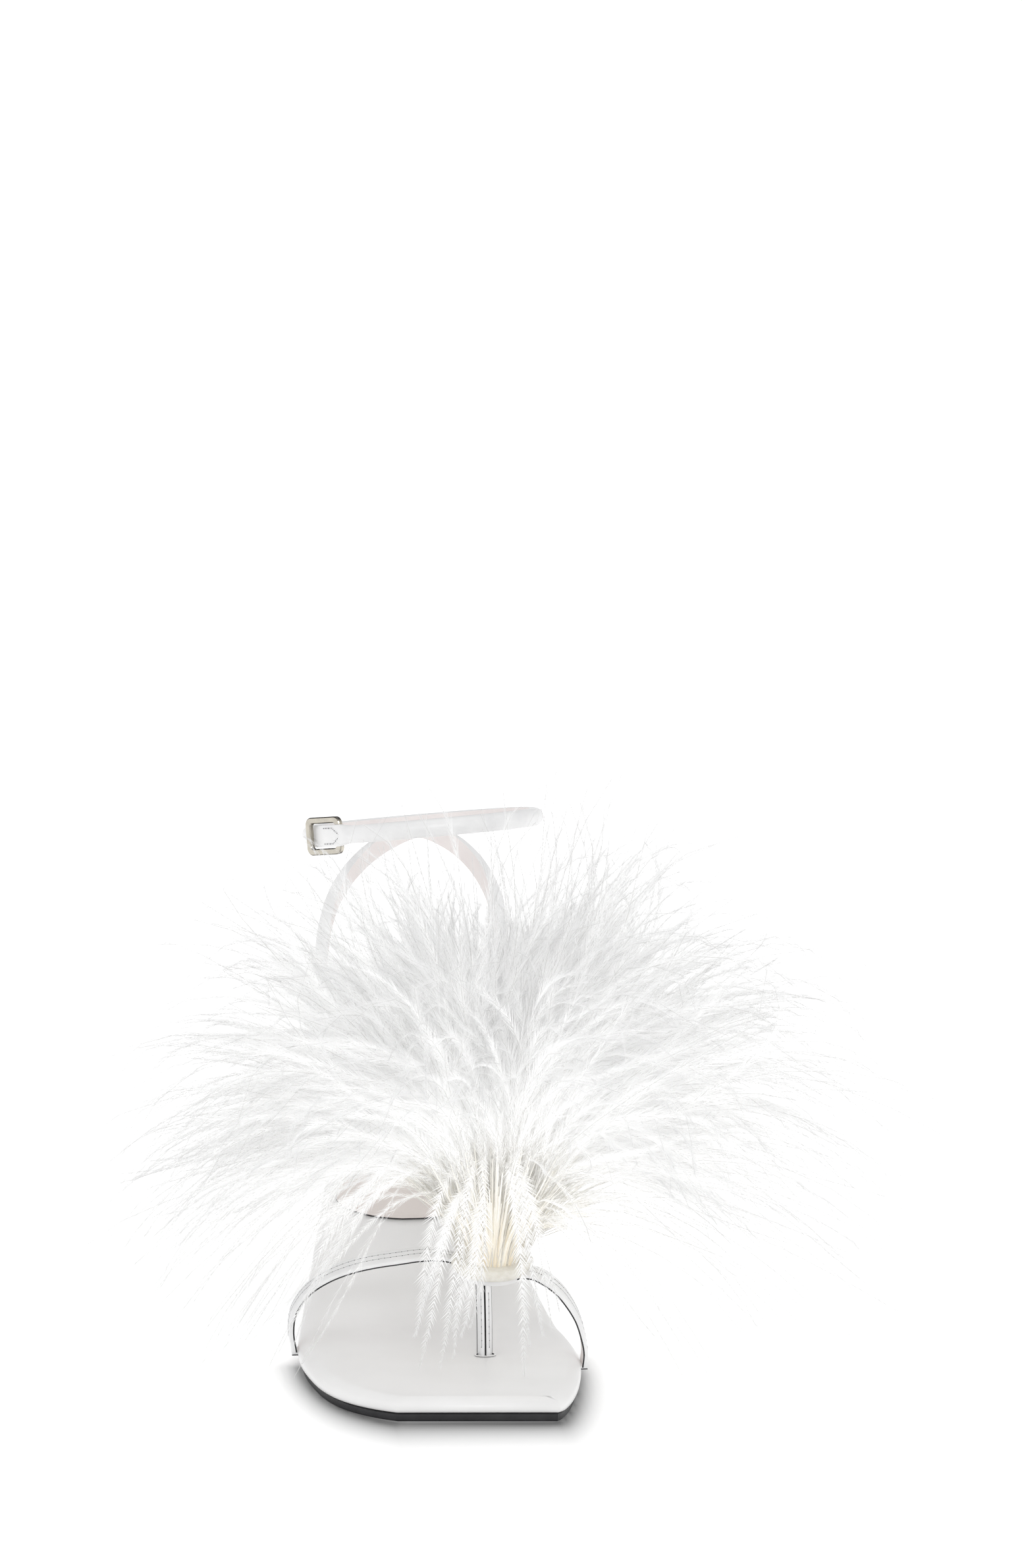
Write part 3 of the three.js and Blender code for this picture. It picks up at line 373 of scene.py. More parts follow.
GAP = 0.3
TREAD_BACK, TREAD_FRONT, TOE_REACH, TOE_SPRING = 12, 33, 72, 1.6
SHANK_RUN, HEEL_RISE, SEAT_LENGTH, SEAT_RISE, SHANK_HANDLE = 102, 62.5, 38, 2.5, 0.3
BALL_WIDTH, TOE_SLANT = 79, 0.13
OUTSOLE_THICKNESS, OUTSOLE_INSET = 2.3, 1.1
FOOTBED_BOTTOM = OUTSOLE_THICKNESS + GAP
FOOTBED_THICKNESS = 4.2
FOOTBED_TOP = FOOTBED_BOTTOM + FOOTBED_THICKNESS
BEVEL_WIDTH = 4.2
SOCK_FRONT, SOCK_BOW, SOCK_LIFT = 101, 12, 0.05
BREAST = 43


def bezier(points, shares):
    t = shares[:, None]
    if len(points) == 2:
        return (1 - t) * points[0] + t * points[1]
    if len(points) == 3:
        return (1 - t) ** 2 * points[0] + 2 * t * (1 - t) * points[1] + t**2 * points[2]
    return ((1 - t) ** 3 * points[0] + 3 * t * (1 - t) ** 2 * points[1]
            + 3 * t**2 * (1 - t) * points[2] + t**3 * points[3])


seat_front = vec(-TREAD_BACK - SHANK_RUN, HEEL_RISE)
seat_back = seat_front + vec(-SEAT_LENGTH, SEAT_RISE)
handle = SHANK_RUN * SHANK_HANDLE
profile_parts = [
    [seat_back, seat_front],
    [seat_front, seat_front + vec(handle, -handle * SEAT_RISE / SEAT_LENGTH),
     vec(-TREAD_BACK - handle, 0), vec(-TREAD_BACK, 0)],
    [vec(-TREAD_BACK, 0), vec(TREAD_FRONT, 0)],
    [vec(TREAD_FRONT, 0), vec((TREAD_FRONT + TOE_REACH) / 2, 0), vec(TOE_REACH, TOE_SPRING)],
]
profile = np.concatenate([bezier(part, np.linspace(0, 1, 800)[:-1]) for part in profile_parts]
                         + [[profile_parts[-1][-1]]])
profile_run = np.concatenate([[0], np.cumsum(np.linalg.norm(np.diff(profile, axis=0), axis=1))])
sole_length = profile_run[-1]
profile_slope = unit(np.gradient(profile, profile_run, axis=0))


def place(along, side, height):
    """Points of the shoe from the distance along the sole, the side and the height above the ground line"""
    along, side, height = np.broadcast_arrays(*(np.asarray(v, float) for v in (along, side, height)))
    inside = np.clip(along, 0, sole_length)
    tx, tz = (np.interp(inside, profile_run, profile_slope[:, axis]) for axis in (0, 1))
    x = np.interp(inside, profile_run, profile[:, 0]) + tx * (along - inside) - tz * height
    z = np.interp(inside, profile_run, profile[:, 1]) + tz * (along - inside) + tx * height
    return np.stack([x, side, z], -1)


def along_of(x):
    return float(np.interp(x, profile[:, 0], profile_run))


# Outline: share of the length from the back, and the lateral and medial shares of the ball width
outline_rows = np.array([
    [0.000, 0.040, 0.115], [0.010, 0.104, 0.180], [0.035, 0.208, 0.284], [0.075, 0.276, 0.352],
    [0.120, 0.298, 0.375], [0.180, 0.302, 0.366], [0.270, 0.314, 0.312], [0.366, 0.342, 0.275],
    [0.474, 0.405, 0.325], [0.580, 0.466, 0.415], [0.660, 0.500, 0.465], [0.740, 0.511, 0.489],
    [0.800, 0.494, 0.486], [0.860, 0.456, 0.464], [0.910, 0.402, 0.432], [0.950, 0.330, 0.396],
    [0.977, 0.245, 0.360], [0.993, 0.150, 0.305], [1.000, 0.050, 0.220],
])
STEPS_A_ROW = 8
STATIONS = (len(outline_rows) - 1) * STEPS_A_ROW
# How far each layer of the sole stays clear of a station, where it starts or ends between two
STATION_ROOM = 1


def edge_points(column, sign):
    side = sign * outline_rows[:, column] * BALL_WIDTH
    slant = smoothstep(outline_rows[:, 0], 0.85, 1) * TOE_SLANT * side
    rows = np.stack([outline_rows[:, 0] * sole_length + slant, side], 1)
    return smooth_curve(rows, np.linspace(0, 1, STATIONS + 1))[0]


lateral_edge = edge_points(1, -1)
medial_edge = edge_points(2, 1)


def side_at(edge, along):
    return float(np.interp(along, edge[:, 0], edge[:, 1]))


def stations_between(start, end):
    keep = (lateral_edge[:, 0] > start + STATION_ROOM) & (medial_edge[:, 0] < end - STATION_ROOM)
    lateral, medial = lateral_edge[keep], medial_edge[keep]
    if start > 0:
        lateral = np.vstack([[start, side_at(lateral_edge, start)], lateral])
        medial = np.vstack([[start, side_at(medial_edge, start)], medial])
    if end < sole_length:
        lateral = np.vstack([lateral, [end, side_at(lateral_edge, end)]])
        medial = np.vstack([medial, [end, side_at(medial_edge, end)]])
    return lateral, medial


def inset_loop(lateral, medial, inset):
    loop = np.vstack([lateral, medial[::-1]])
    travel = unit(unit(loop - np.roll(loop, 1, axis=0)) + unit(np.roll(loop, -1, axis=0) - loop))
    return loop + np.stack([-travel[:, 1], travel[:, 0]], 1) * inset


def sole_layer(lateral, medial, levels, edge_slots=None, columns=14, dish=0.0):
    """A layer of the sole through levels of inset and height, with a finely divided, slightly sunk top"""
    shape = Shape()
    pairs = len(lateral)
    count = pairs * 2
    loops = [inset_loop(lateral, medial, inset) for inset, _ in levels]
    verts, faces, _ = skin([place(*loop.T, height) for loop, (_, height) in zip(loops, levels)], caps=False)
    edge_slots = edge_slots or [0] * (len(levels) - 1)
    slots = [slot for slot in edge_slots for _ in range(count)]
    for pair in range(pairs - 1):
        faces.append([pair + 1, pair, count - 1 - pair, count - 2 - pair])
        slots.append(edge_slots[0])
    shape.add(verts, faces, slots)
    left, right = loops[-1][:pairs], loops[-1][pairs:][::-1]
    across = np.linspace(0, 1, columns + 1)
    grid = left[:, None, :] * (1 - across)[None, :, None] + right[:, None, :] * across[None, :, None]
    sink = dish * (4 * across * (1 - across))[None, :]
    surface = place(grid[..., 0], grid[..., 1], levels[-1][1] - sink)
    cells = []
    for row in range(pairs - 1):
        for column in range(columns):
            at = row * (columns + 1) + column
            cells.append([at + 1, at + columns + 2, at + columns + 1, at])
    shape.add(surface.reshape(-1, 3), cells, 0)
    return shape


# Edges of the layers: rows of inset from the side and height above the layer's bottom
outsole_rows = [
    (0.7, 0), (0.3, 0.12), (0.1, 0.35), (0, 0.7), (0, OUTSOLE_THICKNESS - 0.2), (0.2, OUTSOLE_THICKNESS),
]
footbed_rows = [
    (1.1, 0), (0.4, 0.2), (0.1, 0.6), (0.0, 1.1), (0.0, 1.7), (0.2, 2.25), (0.6, 2.75), (1.3, 3.2),
    (2.2, 3.6), (3.1, 3.93), (3.7, 4.1), (4.2, FOOTBED_THICKNESS), (5.2, FOOTBED_THICKNESS),
]
sock_rows = [(0, 0), (0, GAP + 0.4), (0.15, GAP + 0.62), (0.5, GAP + 0.7)]


def raised(rows, inset, bottom):
    """Edge rows of a layer at its own inset and bottom"""
    return [(side + inset, height + bottom) for side, height in rows]


outsole = sole_layer(*stations_between(BREAST + GAP, sole_length), raised(outsole_rows, OUTSOLE_INSET, 0))
outsole = outsole.piece("outsole_edge", [black_sole], slot_name="black_sole")
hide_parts("outsole")

footbed = sole_layer(*stations_between(0, sole_length), raised(footbed_rows, 0, FOOTBED_BOTTOM), dish=0.25)
footbed = footbed.piece("footbed_wrap", [white_leather], sharp=60)
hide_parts("footbed")


def sock_edges():
    lateral, medial = stations_between(0, SOCK_FRONT)
    middle = (lateral[-1, 1] + medial[-1, 1]) / 2
    half = (medial[-1, 1] - lateral[-1, 1]) / 2
    for turn in np.linspace(0.12, 1.45, 12):
        along = SOCK_FRONT + SOCK_BOW * math.sin(turn)
        reach = half * math.cos(turn)
        lateral = np.vstack([lateral, [along, middle - reach]])
        medial = np.vstack([medial, [along, middle + reach]])
    return lateral, medial


# The sock's raised edge takes the dark edge finish: painted shade for the shadow along that edge
sock = sole_layer(*sock_edges(), raised(sock_rows, BEVEL_WIDTH, FOOTBED_TOP + SOCK_LIFT),
                  edge_slots=[1, 0, 0], dish=0.2)
sock = sock.piece("heel_sock_leather", [sock_leather, edge_paint_and_shade], slot_name="sock_leather")
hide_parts("heel_sock")


# Heel

HEEL_INSET, HEEL_FOOT_LENGTH, HEEL_FOOT_WIDTH, HEEL_FOOT_BACK, TOP_PIECE = 1.4, 12.5, 12, 9, 6
HEEL_SIDES, HEEL_RINGS = 64, 44
LOOP_ALONG = 27
# Share of the height from the seat down, and how far the back, the front and the half width have slimmed
heel_rows = np.array([
    [0.00, 0.02, 0.02, 0.02], [0.08, 0.16, 0.34, 0.26], [0.20, 0.38, 0.62, 0.55],
    [0.38, 0.66, 0.83, 0.80], [0.62, 0.88, 0.95, 0.94], [1.00, 1.00, 1.00, 1.00],
])
heel_back = seat_back[0] + HEEL_INSET
heel_front = place(BREAST, 0, 0)[0]
heel_foot = heel_back + HEEL_FOOT_BACK
lateral_wall, medial_wall = side_at(lateral_edge, LOOP_ALONG), side_at(medial_edge, LOOP_ALONG)
seat_half = (medial_wall - lateral_wall) / 2 - HEEL_INSET
heel_middle = (medial_wall + lateral_wall) / 2


def heel_rings():
    """Rings from the heel's foot up to the seat, slimmer downwards and squarer at the breast"""
    rings = []
    turns = round_turns(HEEL_SIDES)
    c, s = np.cos(turns), np.sin(turns)
    square = np.where(c > 0, 0.7, 0.95)
    seat_line = place(np.linspace(0, 60, 200), 0, OUTSOLE_THICKNESS + 0.05)
    fine = smooth_curve(heel_rows, np.linspace(0, 1, 200))[0]
    for down in np.linspace(1, 0, HEEL_RINGS):
        back, front, half = (np.interp(down, fine[:, 0], fine[:, column]) for column in (1, 2, 3))
        low, high = mix(heel_back, heel_foot, back), mix(heel_front, heel_foot + HEEL_FOOT_LENGTH, front)
        x = (low + high) / 2 + (high - low) / 2 * np.sign(c) * np.abs(c) ** square
        y = heel_middle + mix(seat_half, HEEL_FOOT_WIDTH / 2, half) * np.sign(s) * np.abs(s) ** square
        top = np.interp(x, seat_line[:, 0], seat_line[:, 2])
        rings.append(np.stack([x, y, mix(top, TOP_PIECE + GAP, down)], 1))
    return rings


def finish_solid(name, material):
    """Gives the solid of a node its finish, and leaves its mesh as it is"""
    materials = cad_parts[name].data.materials
    materials.clear()
    materials.append(material)


heel_shape = Shape()
heel_shape.add(*skin(heel_rings()))
heel = heel_shape.piece("heel_cover", [white_leather])
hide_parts("heel")
finish_solid("heel_top_piece", black_sole)


# Vamp straps and toe post

FORWARD, UPWARD = vec(1, 0, 0), vec(0, 0, 1)
VAMP_WIDTH, VAMP_THICKNESS, VAMP_TILT = 6.2, 1.6, 0.34
STRAP_EDGE, STRAP_SHOULDER, STRAP_CROWN = 0.28, 0.72, 0.14
LATERAL_FOOT, MEDIAL_FOOT, LATERAL_RISE, MEDIAL_RISE = -5, 18, 28, 25.2
POST_WIDTH, POST_DEPTH, POST_ALONG, POST_SIDE = 4.5, 2.8, 17, 11.8
POST_SEAM, POST_BOW = 1.089, 0.8
TAB_RADIUS, TAB_THICKNESS = 9.5, 1.8
LATERAL_MEET, MEDIAL_MEET, POST_MEET = (-5, -5.5), (4, 7), (7, -3)
TUCK_LENGTH, TUCK_THICKNESS = 8, 1.2
STITCH_PITCH, STITCH_ROOM = 1.7, 4.5
DISC_RADIUS, DISC_THICKNESS, DISC_TILT = 11.7, 3.5, math.radians(8)
disc_centre = vec(2, 15.2, 28.4)
disc_turn = np.array(Matrix.Rotation(DISC_TILT, 3, "Y"))
disc_up = disc_turn @ UPWARD
band_foot = FOOTBED_BOTTOM + GAP + VAMP_THICKNESS * 0.3
tab_middle = -GAP - TAB_THICKNESS / 2


def on_disc(ahead, side, above):
    return disc_turn @ vec(ahead, side, above) + disc_centre


# Rows of each strap: shares of the way to the tab, of the rise and of the forward tilt
lateral_rows = np.array([
    [0.000, 0.00, 0.0], [-0.017, 0.22, 0.0], [-0.004, 0.42, 0.1], [0.041, 0.57, 0.3], [0.106, 0.69, 0.5],
    [0.205, 0.80, 0.7], [0.318, 0.88, 0.9], [0.431, 0.93, 1.0], [0.584, 0.97, 1.0], [0.734, 1.00, 0.9],
    [0.847, 0.985, 0.6], [1.000, 0.90, 0.4],
])
medial_rows = np.array([
    [0.000, 0.00, 0.0], [-0.020, 0.16, 0.0], [0.006, 0.30, 0.1], [0.073, 0.50, 0.4], [0.196, 0.68, 0.8],
    [0.346, 0.82, 1.0], [0.525, 0.92, 1.2], [0.704, 0.98, 1.1], [0.880, 0.985, 0.8], [1.000, 0.96, 0.4],
])


class Band:
    """A strap along a path: its middle line, its outer face's direction and its width and thickness"""

    def __init__(self, points, outs, widths, thicknesses, steps):
        shares = np.linspace(0, 1, steps + 1)
        rows = np.linspace(0, 1, len(points))
        self.at, self.travel = smooth_curve(points, shares)
        out = np.stack([np.interp(shares, rows, np.asarray(outs)[:, axis]) for axis in range(3)], 1)
        out -= self.travel * (out * self.travel).sum(1, keepdims=True)
        self.out = unit(out)
        self.across = np.cross(self.out, self.travel)
        self.width = np.interp(shares, rows, widths)
        self.thickness = np.interp(shares, rows, thicknesses)
        self.run = np.concatenate([[0], np.cumsum(np.linalg.norm(np.diff(self.at, axis=0), axis=1))])

    def rings(self, section):
        """section: rows of across and outward, as shares of the half width and of the thickness"""
        section = np.asarray(section, float)
        side = self.width[:, None] / 2 * section[None, :, 0]
        outward = self.thickness[:, None] * (section[None, :, 1] - 0.5)
        return (self.at[:, None] + self.across[:, None] * side[..., None]
                + self.out[:, None] * outward[..., None])

    def spot(self, run, side, outward):
        """A place on the strap from its run in millimetres, and its frame there"""
        def read(table):
            return np.array([np.interp(run, self.run, table[:, axis]) for axis in range(3)])
        travel, across, out = unit(read(self.travel)), unit(read(self.across)), unit(read(self.out))
        return read(self.at) + across * side + out * outward, travel, across, out


def strap_section():
    """Flat strap with a painted raw edge: points, and the material of the face after each point"""
    half = [(1.0, 0.0), (1.0, STRAP_EDGE), (1.0, STRAP_SHOULDER), (0.94, 0.86)]
    crown = [(share, 1 - STRAP_CROWN * share * share) for share in np.linspace(0.86, -0.86, 9)]
    points = half + crown + [(-across, outward) for across, outward in half[::-1]]
    return points, [1, 0, 0, 0] + [0] * len(crown) + [0, 0, 1, 2]


def hole(shape, band, run, side, height, size, slot):
    """A needle hole, long along the strap: a flat disc of painted shade"""
    centre, travel, across, _ = band.spot(run, side, height)
    turns = round_turns(8)[:, None]
    ring = centre + np.cos(turns) * travel * size * 1.15 + np.sin(turns) * across * size * 0.8
    shape.add(ring, [list(range(8))], slot)


def thread(shape, band, start, end, side, height, size, slot):
    """One stitch between two holes, a low rounded ridge"""
    rings = []
    for share, lift in ((0, 0.0), (0.3, 1.0), (0.7, 1.0), (1, 0.0)):
        centre, _, across, out = band.spot(mix(start, end, share), side, height)
        rings.append([centre - across * size, centre - across * size * 0.4 + out * size * lift,
                      centre + across * size * 0.4 + out * size * lift, centre + across * size])
    verts, faces, _ = skin(rings, caps=False)
    shape.add(verts, faces, slot)


def stitch_row(shape, band, side, height, pitch, start, end, size=0.2):
    """Needle holes along a strap, a little uneven, with a thread from each to the next"""
    runs = np.arange(start, end, pitch)
    for run in runs:
        hole(shape, band, run, side + rng.normal(0, 0.03), height, size, 0)
    for before, after in zip(runs[:-1], runs[1:]):
        thread(shape, band, before + size, after - size, side, height, 0.09, 1)


def tuck_block(point, inward, width, thickness):
    """The strap's end, turned flat under the footbed"""
    band = Band([point, point + inward], [UPWARD, UPWARD], [width] * 2, [thickness] * 2, 2)
    section, slots = strap_section()
    return skin(band.rings(section), slots)


def vamp_band(edge, x, rows, rise, end):
    """The middle line of a vamp strap, from the wall of the footbed to the tab"""
    along = along_of(x)
    wall = side_at(edge, along)
    outside = math.copysign(1, wall)
    start = place(along, wall + outside * (GAP + VAMP_THICKNESS / 2), band_foot)
    points = start + (end - start) * rows[:, :1]
    points[:, 2] = start[2] + rows[:, 1] * rise
    travel = smooth_curve(points, np.linspace(0, 1, len(rows)))[1]
    outs = unit(np.cross(FORWARD, travel) * -outside) + FORWARD * (rows[:, 2:] * VAMP_TILT)
    band = Band(points, outs, [VAMP_WIDTH] * len(rows), [VAMP_THICKNESS] * len(rows), 110)
    return band, start, outside


def vamp_strap(name, edge, x, rows, rise, end):
    """One strap of the vamp, its end under the footbed, and its two rows of stitches"""
    band, start, outside = vamp_band(edge, x, rows, rise, end)
    section, slots = strap_section()
    shape = Shape()
    shape.add(*skin(band.rings(section), slots))
    base = start - UPWARD * (VAMP_THICKNESS * 0.3 - VAMP_THICKNESS / 2 + GAP)
    shape.add(*tuck_block(base + vec(0, outside * VAMP_THICKNESS / 2, 0), vec(0, -outside * TUCK_LENGTH, 0),
                          VAMP_WIDTH, TUCK_THICKNESS))
    piece = shape.piece(name, strap_finishes)
    stitches = Shape()
    for share in (0.2, -0.13):
        side = -outside * share * VAMP_WIDTH
        crown = STRAP_CROWN * (side / (VAMP_WIDTH / 2)) ** 2
        top = VAMP_THICKNESS * (0.5 - crown) + 0.015
        stitch_row(stitches, band, side, top, STITCH_PITCH, STITCH_ROOM, band.run[-1] - 4)
    stitches.piece(name + "_stitches", stitch_finishes)
    return piece


lateral_strap = vamp_strap("lateral_vamp_strap", lateral_edge, LATERAL_FOOT, lateral_rows, LATERAL_RISE,
                           on_disc(*LATERAL_MEET, tab_middle))
vamp_strap("medial_vamp_strap", medial_edge, MEDIAL_FOOT, medial_rows, MEDIAL_RISE,
           on_disc(*MEDIAL_MEET, tab_middle))
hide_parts("vamp_straps")


def toe_post():
    """The post between the toes, folded leather with a groove, and the slit that it goes into"""
    along = along_of(POST_ALONG)
    foot = place(along, POST_SIDE, FOOTBED_TOP - 2)
    head = on_disc(*POST_MEET, tab_middle)
    middle = mix(foot, head, 0.5) + FORWARD * POST_BOW
    band = Band([foot, middle, head], [FORWARD] * 3, [POST_WIDTH] * 3, [POST_DEPTH] * 3, 40)
    half = [(1.0, 0.0), (0.93, 0.2), (0.80, 0.52), (0.72, 0.78), (0.58, 0.95), (0.3, 1.0), (0.11, 0.93),
            (0.05, 0.72)]
    points = half + [(-across, outward) for across, outward in half[::-1]]
    # Outer edges and groove in the dark edge finish: partly the leather's raw edges, partly painted shade
    # where they lie in shadow
    slots = [1, 0, 0, 0, 0, 0, 1, 1, 1, 0, 0, 0, 0, 0, 1, 2]
    shape = Shape()
    shape.add(*skin(band.rings(points), slots))
    stitches = Shape()
    for side in (-POST_SEAM, POST_SEAM):
        stitch_row(stitches, band, side, POST_DEPTH / 2 + 0.01, 1.9, 4.0, band.run[-1] - 3, size=0.13)
    stitches.piece("toe_post_stitches", stitch_finishes)
    slit = Shape()
    centre = place(along, POST_SIDE, FOOTBED_TOP)
    turns = round_turns(40)
    rings = [centre + np.stack([np.cos(turns) * a, np.sin(turns) * b, np.full(40, lift)], 1)
             for a, b, lift in ((2.35, 3.1, 0.02), (2.1, 2.85, 0.14), (1.8, 2.6, 0.16), (1.6, 2.35, -0.4))]
    verts, faces, _ = skin(rings, caps=False)
    # The slit's inner wall takes the dark edge finish: its cut edge, and painted shade inside the slit
    slit.add(verts, faces, [0] * 80 + [1] * 40)
    slit.piece("toe_post_slit", [white_leather, edge_paint_and_shade])
    return shape.piece("toe_post", strap_finishes)


toe_post()


def lathe_on_disc(profile_rows, sides, ragged=0.0):
    """Rings round the disc's axis from rows of radius and height, with an uneven rim where ragged"""
    turns = round_turns(sides)
    wobble = sum(rng.normal(0, 1) * np.cos(turns * waves + rng.uniform(0, 6)) / waves**0.6
                 for waves in (3, 5, 8, 13, 21, 34))
    rings = []
    for radius, height in profile_rows:
        far = radius + ragged * wobble * smoothstep(radius, DISC_RADIUS * 0.6, DISC_RADIUS)
        local = np.stack([np.cos(turns) * far, np.sin(turns) * far, np.full(sides, height)], 1)
        rings.append(local @ disc_turn.T + disc_centre)
    return rings


tab_bottom = -GAP - TAB_THICKNESS
tab = Shape()
tab.add(*skin(lathe_on_disc([
    (0.5, tab_bottom), (TAB_RADIUS - 0.5, tab_bottom), (TAB_RADIUS - 0.1, tab_bottom + 0.25),
    (TAB_RADIUS, -GAP - 0.9), (TAB_RADIUS - 0.1, -GAP - 0.3), (TAB_RADIUS - 0.5, -GAP), (0.5, -GAP),
], 72)))
tab.piece("strap_cross_tab", [strap_leather])

disc = Shape()
disc.add(*skin(lathe_on_disc([
    (0.5, -0.1), (DISC_RADIUS - 0.9, -0.1), (DISC_RADIUS - 0.3, 0.35), (DISC_RADIUS, 1.2), (DISC_RADIUS, 2.2),
    (DISC_RADIUS - 0.35, 3.1), (DISC_RADIUS - 1.1, DISC_THICKNESS), (0.5, DISC_THICKNESS),
], 140, ragged=0.16)))
felt_disc = disc.piece("felt_disc", [felt], slot_name="felt")
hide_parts("feather_base")


# Ankle strap, heel loop and buckle

PAD_WIDTH, PAD_THICKNESS, FLAT_WIDTH, FLAT_THICKNESS, FLAT_REACH, FLAT_BLEND = 5.2, 4.0, 6.6, 1.8, 8, 5
LOOP_TOP, LOOP_SHIFT = 126.8, 4
ANKLE_BACK, ANKLE_DEPTH, ANKLE_WIDTH, ANKLE_SIDE, ANKLE_HEIGHT = -146, 73, 67, 5, 128.6
ANKLE_PITCH, ANKLE_ROLL, ANKLE_SQUARENESS = 0.175, 0.07, 2.5
BUCKLE_AT = -90.5
TAB_ROW_SIDE, TAB_ROW_END = 2.3, 6.4
# Rings round the ankle strap, and steps along the heel loop
ANKLE_RINGS, LOOP_STEPS = 300, 220


def ankle_points(turn):
    turn = np.asarray(turn, float)
    power = 2 / ANKLE_SQUARENESS
    c, s = np.cos(turn), np.sin(turn)
    x = ANKLE_BACK + ANKLE_DEPTH / 2 * (1 + np.sign(c) * np.abs(c) ** power)
    y = ANKLE_SIDE - ANKLE_WIDTH / 2 * np.sign(s) * np.abs(s) ** power
    return np.stack([x, y, ANKLE_HEIGHT + ANKLE_PITCH * (x - ANKLE_BACK) + ANKLE_ROLL * (y - ANKLE_SIDE)], -1)


def ankle_out(turn):
    step = 0.01
    travel = ankle_points(turn + step) - ankle_points(turn - step)
    return unit(np.stack([-travel[..., 1], travel[..., 0], np.zeros_like(travel[..., 0])], -1))


turn_table = np.linspace(0, math.pi / 2, 2000)
buckle_turn = float(np.interp(-BUCKLE_AT, -ankle_points(turn_table)[:, 0], turn_table))
buckle_centre = ankle_points(buckle_turn)


def padded_section(pad):
    """Padded strap: domed outer face, seam at both edges, flat lining. Widths and depths in millimetres"""
    half = mix(FLAT_WIDTH, PAD_WIDTH, pad) / 2
    depth = mix(FLAT_THICKNESS, PAD_THICKNESS, pad)
    edge = max(0.8, depth * (1 - mix(0.15, 0.6, pad)))
    seam = [(half - 0.5, 0.0), (half - 0.12, 0.08), (half - 0.1, 0.4), (half, 0.62)]
    dome = [(half * math.cos(turn), edge + (depth - edge) * math.sin(turn) ** 0.85)
            for turn in np.linspace(0, math.pi, 17)[1:-1]]
    return np.array(seam + dome + [(-across, above) for across, above in seam[::-1]]) - [0, depth / 2]


# Material of each face round the padded section: its lower seam is dark on the ankle strap alone, for its
# edge and as painted shade for the gap below it
ANKLE_SLOTS = [2] + [0] * 18 + [1, 1, 2, 2]
LOOP_SLOTS = [1] + [0] * 20 + [1, 1]


def ankle_pad():
    turns = buckle_turn - round_turns(ANKLE_RINGS)
    at, out = ankle_points(turns), ankle_out(turns)
    away = np.linalg.norm(at - buckle_centre, axis=1)
    pads = smoothstep(away, FLAT_REACH, FLAT_REACH + FLAT_BLEND)
    rings = [centre + section[:, :1] * UPWARD + section[:, 1:] * face
             for centre, face, section in zip(at, out, map(padded_section, pads))]
    shape = Shape()
    shape.add(*skin(rings, ANKLE_SLOTS, closed=True))
    return shape.piece("ankle_strap_pad", strap_finishes)


# Shares of the heel loop: rise, side, way to the back, turn of its face and padding
loop_rows = np.array([
    [0.000, 1.000, 0.00, 0.00, 0.0], [0.100, 1.010, 0.04, 0.00, 0.3], [0.220, 1.010, 0.12, 0.05, 1.0],
    [0.500, 0.975, 0.42, 0.20, 1.0], [0.660, 0.900, 0.62, 0.40, 1.0], [0.780, 0.760, 0.78, 0.60, 1.0],
    [0.870, 0.580, 0.89, 0.75, 1.0], [0.945, 0.340, 0.96, 0.90, 1.0], [1.000, 0.000, 1.00, 1.00, 1.0],
])


def heel_loop_pad():
    half = (medial_wall - lateral_wall) / 2 + GAP + FLAT_THICKNESS / 2
    start = place(LOOP_ALONG, heel_middle, band_foot)
    points, outs, pads = [], [], []
    for sign, rows in ((-1, loop_rows), (1, loop_rows[-2::-1])):
        for rise, side, back, turn, pad in rows:
            points.append([mix(start[0], ANKLE_BACK, back),
                           heel_middle + LOOP_SHIFT * rise**2 + sign * half * side,
                           mix(start[2], LOOP_TOP, rise)])
            outs.append(unit(vec(-turn, sign * (1 - turn), 0.35 * math.sin(math.pi * turn))))
            pads.append(pad)
    band = Band(points, outs, [1] * len(points), [1] * len(points), LOOP_STEPS)
    pad_at = np.interp(np.linspace(0, 1, LOOP_STEPS + 1), np.linspace(0, 1, len(points)), pads)
    rings = [at + section[:, :1] * across + section[:, 1:] * out
             for at, across, out, section in zip(band.at, band.across, band.out, map(padded_section, pad_at))]
    shape = Shape()
    shape.add(*skin(rings, LOOP_SLOTS))
    for end, sign in ((band.at[0], -1), (band.at[-1], 1)):
        shape.add(*tuck_block(end + vec(0, sign * FLAT_THICKNESS / 2, 0), vec(0, -sign * TUCK_LENGTH, 0),
                              VAMP_WIDTH, TUCK_THICKNESS))
    return shape.piece("heel_loop_pad", [strap_leather, lining_leather])


def tab_stitches():
    """Pointed row of stitches on the flat end of the ankle strap, next to the buckle"""
    turns = buckle_turn - np.linspace(0, 0.9, 24)
    at, out = ankle_points(turns), ankle_out(turns)
    band = Band(at, out, [FLAT_WIDTH] * 24, [FLAT_THICKNESS] * 24, 60)
    height = FLAT_THICKNESS / 2 + 0.06
    shape = Shape()
    for side in (-1, 1):
        spots = [(run, side * TAB_ROW_SIDE) for run in np.arange(2.2, TAB_ROW_END, 1.4)]
        spots += [(TAB_ROW_END + 1.1 * step, side * (TAB_ROW_SIDE - 0.77 * step)) for step in range(4)]
        for run, across in spots:
            hole(shape, band, run, across, height, 0.2, 0)
        for (before, left), (after, right) in zip(spots[:-1], spots[1:]):
            thread(shape, band, before + 0.2, after - 0.2, (left + right) / 2, height, 0.1, 1)
    return shape.piece("ankle_tab_stitches", stitch_finishes)


ankle = ankle_pad()
heel_loop = heel_loop_pad()
tab_stitches()
for soft in (ankle, heel_loop):
    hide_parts("ankle_strap")

finish_solid("buckle_frame", nickel)


# Feathers

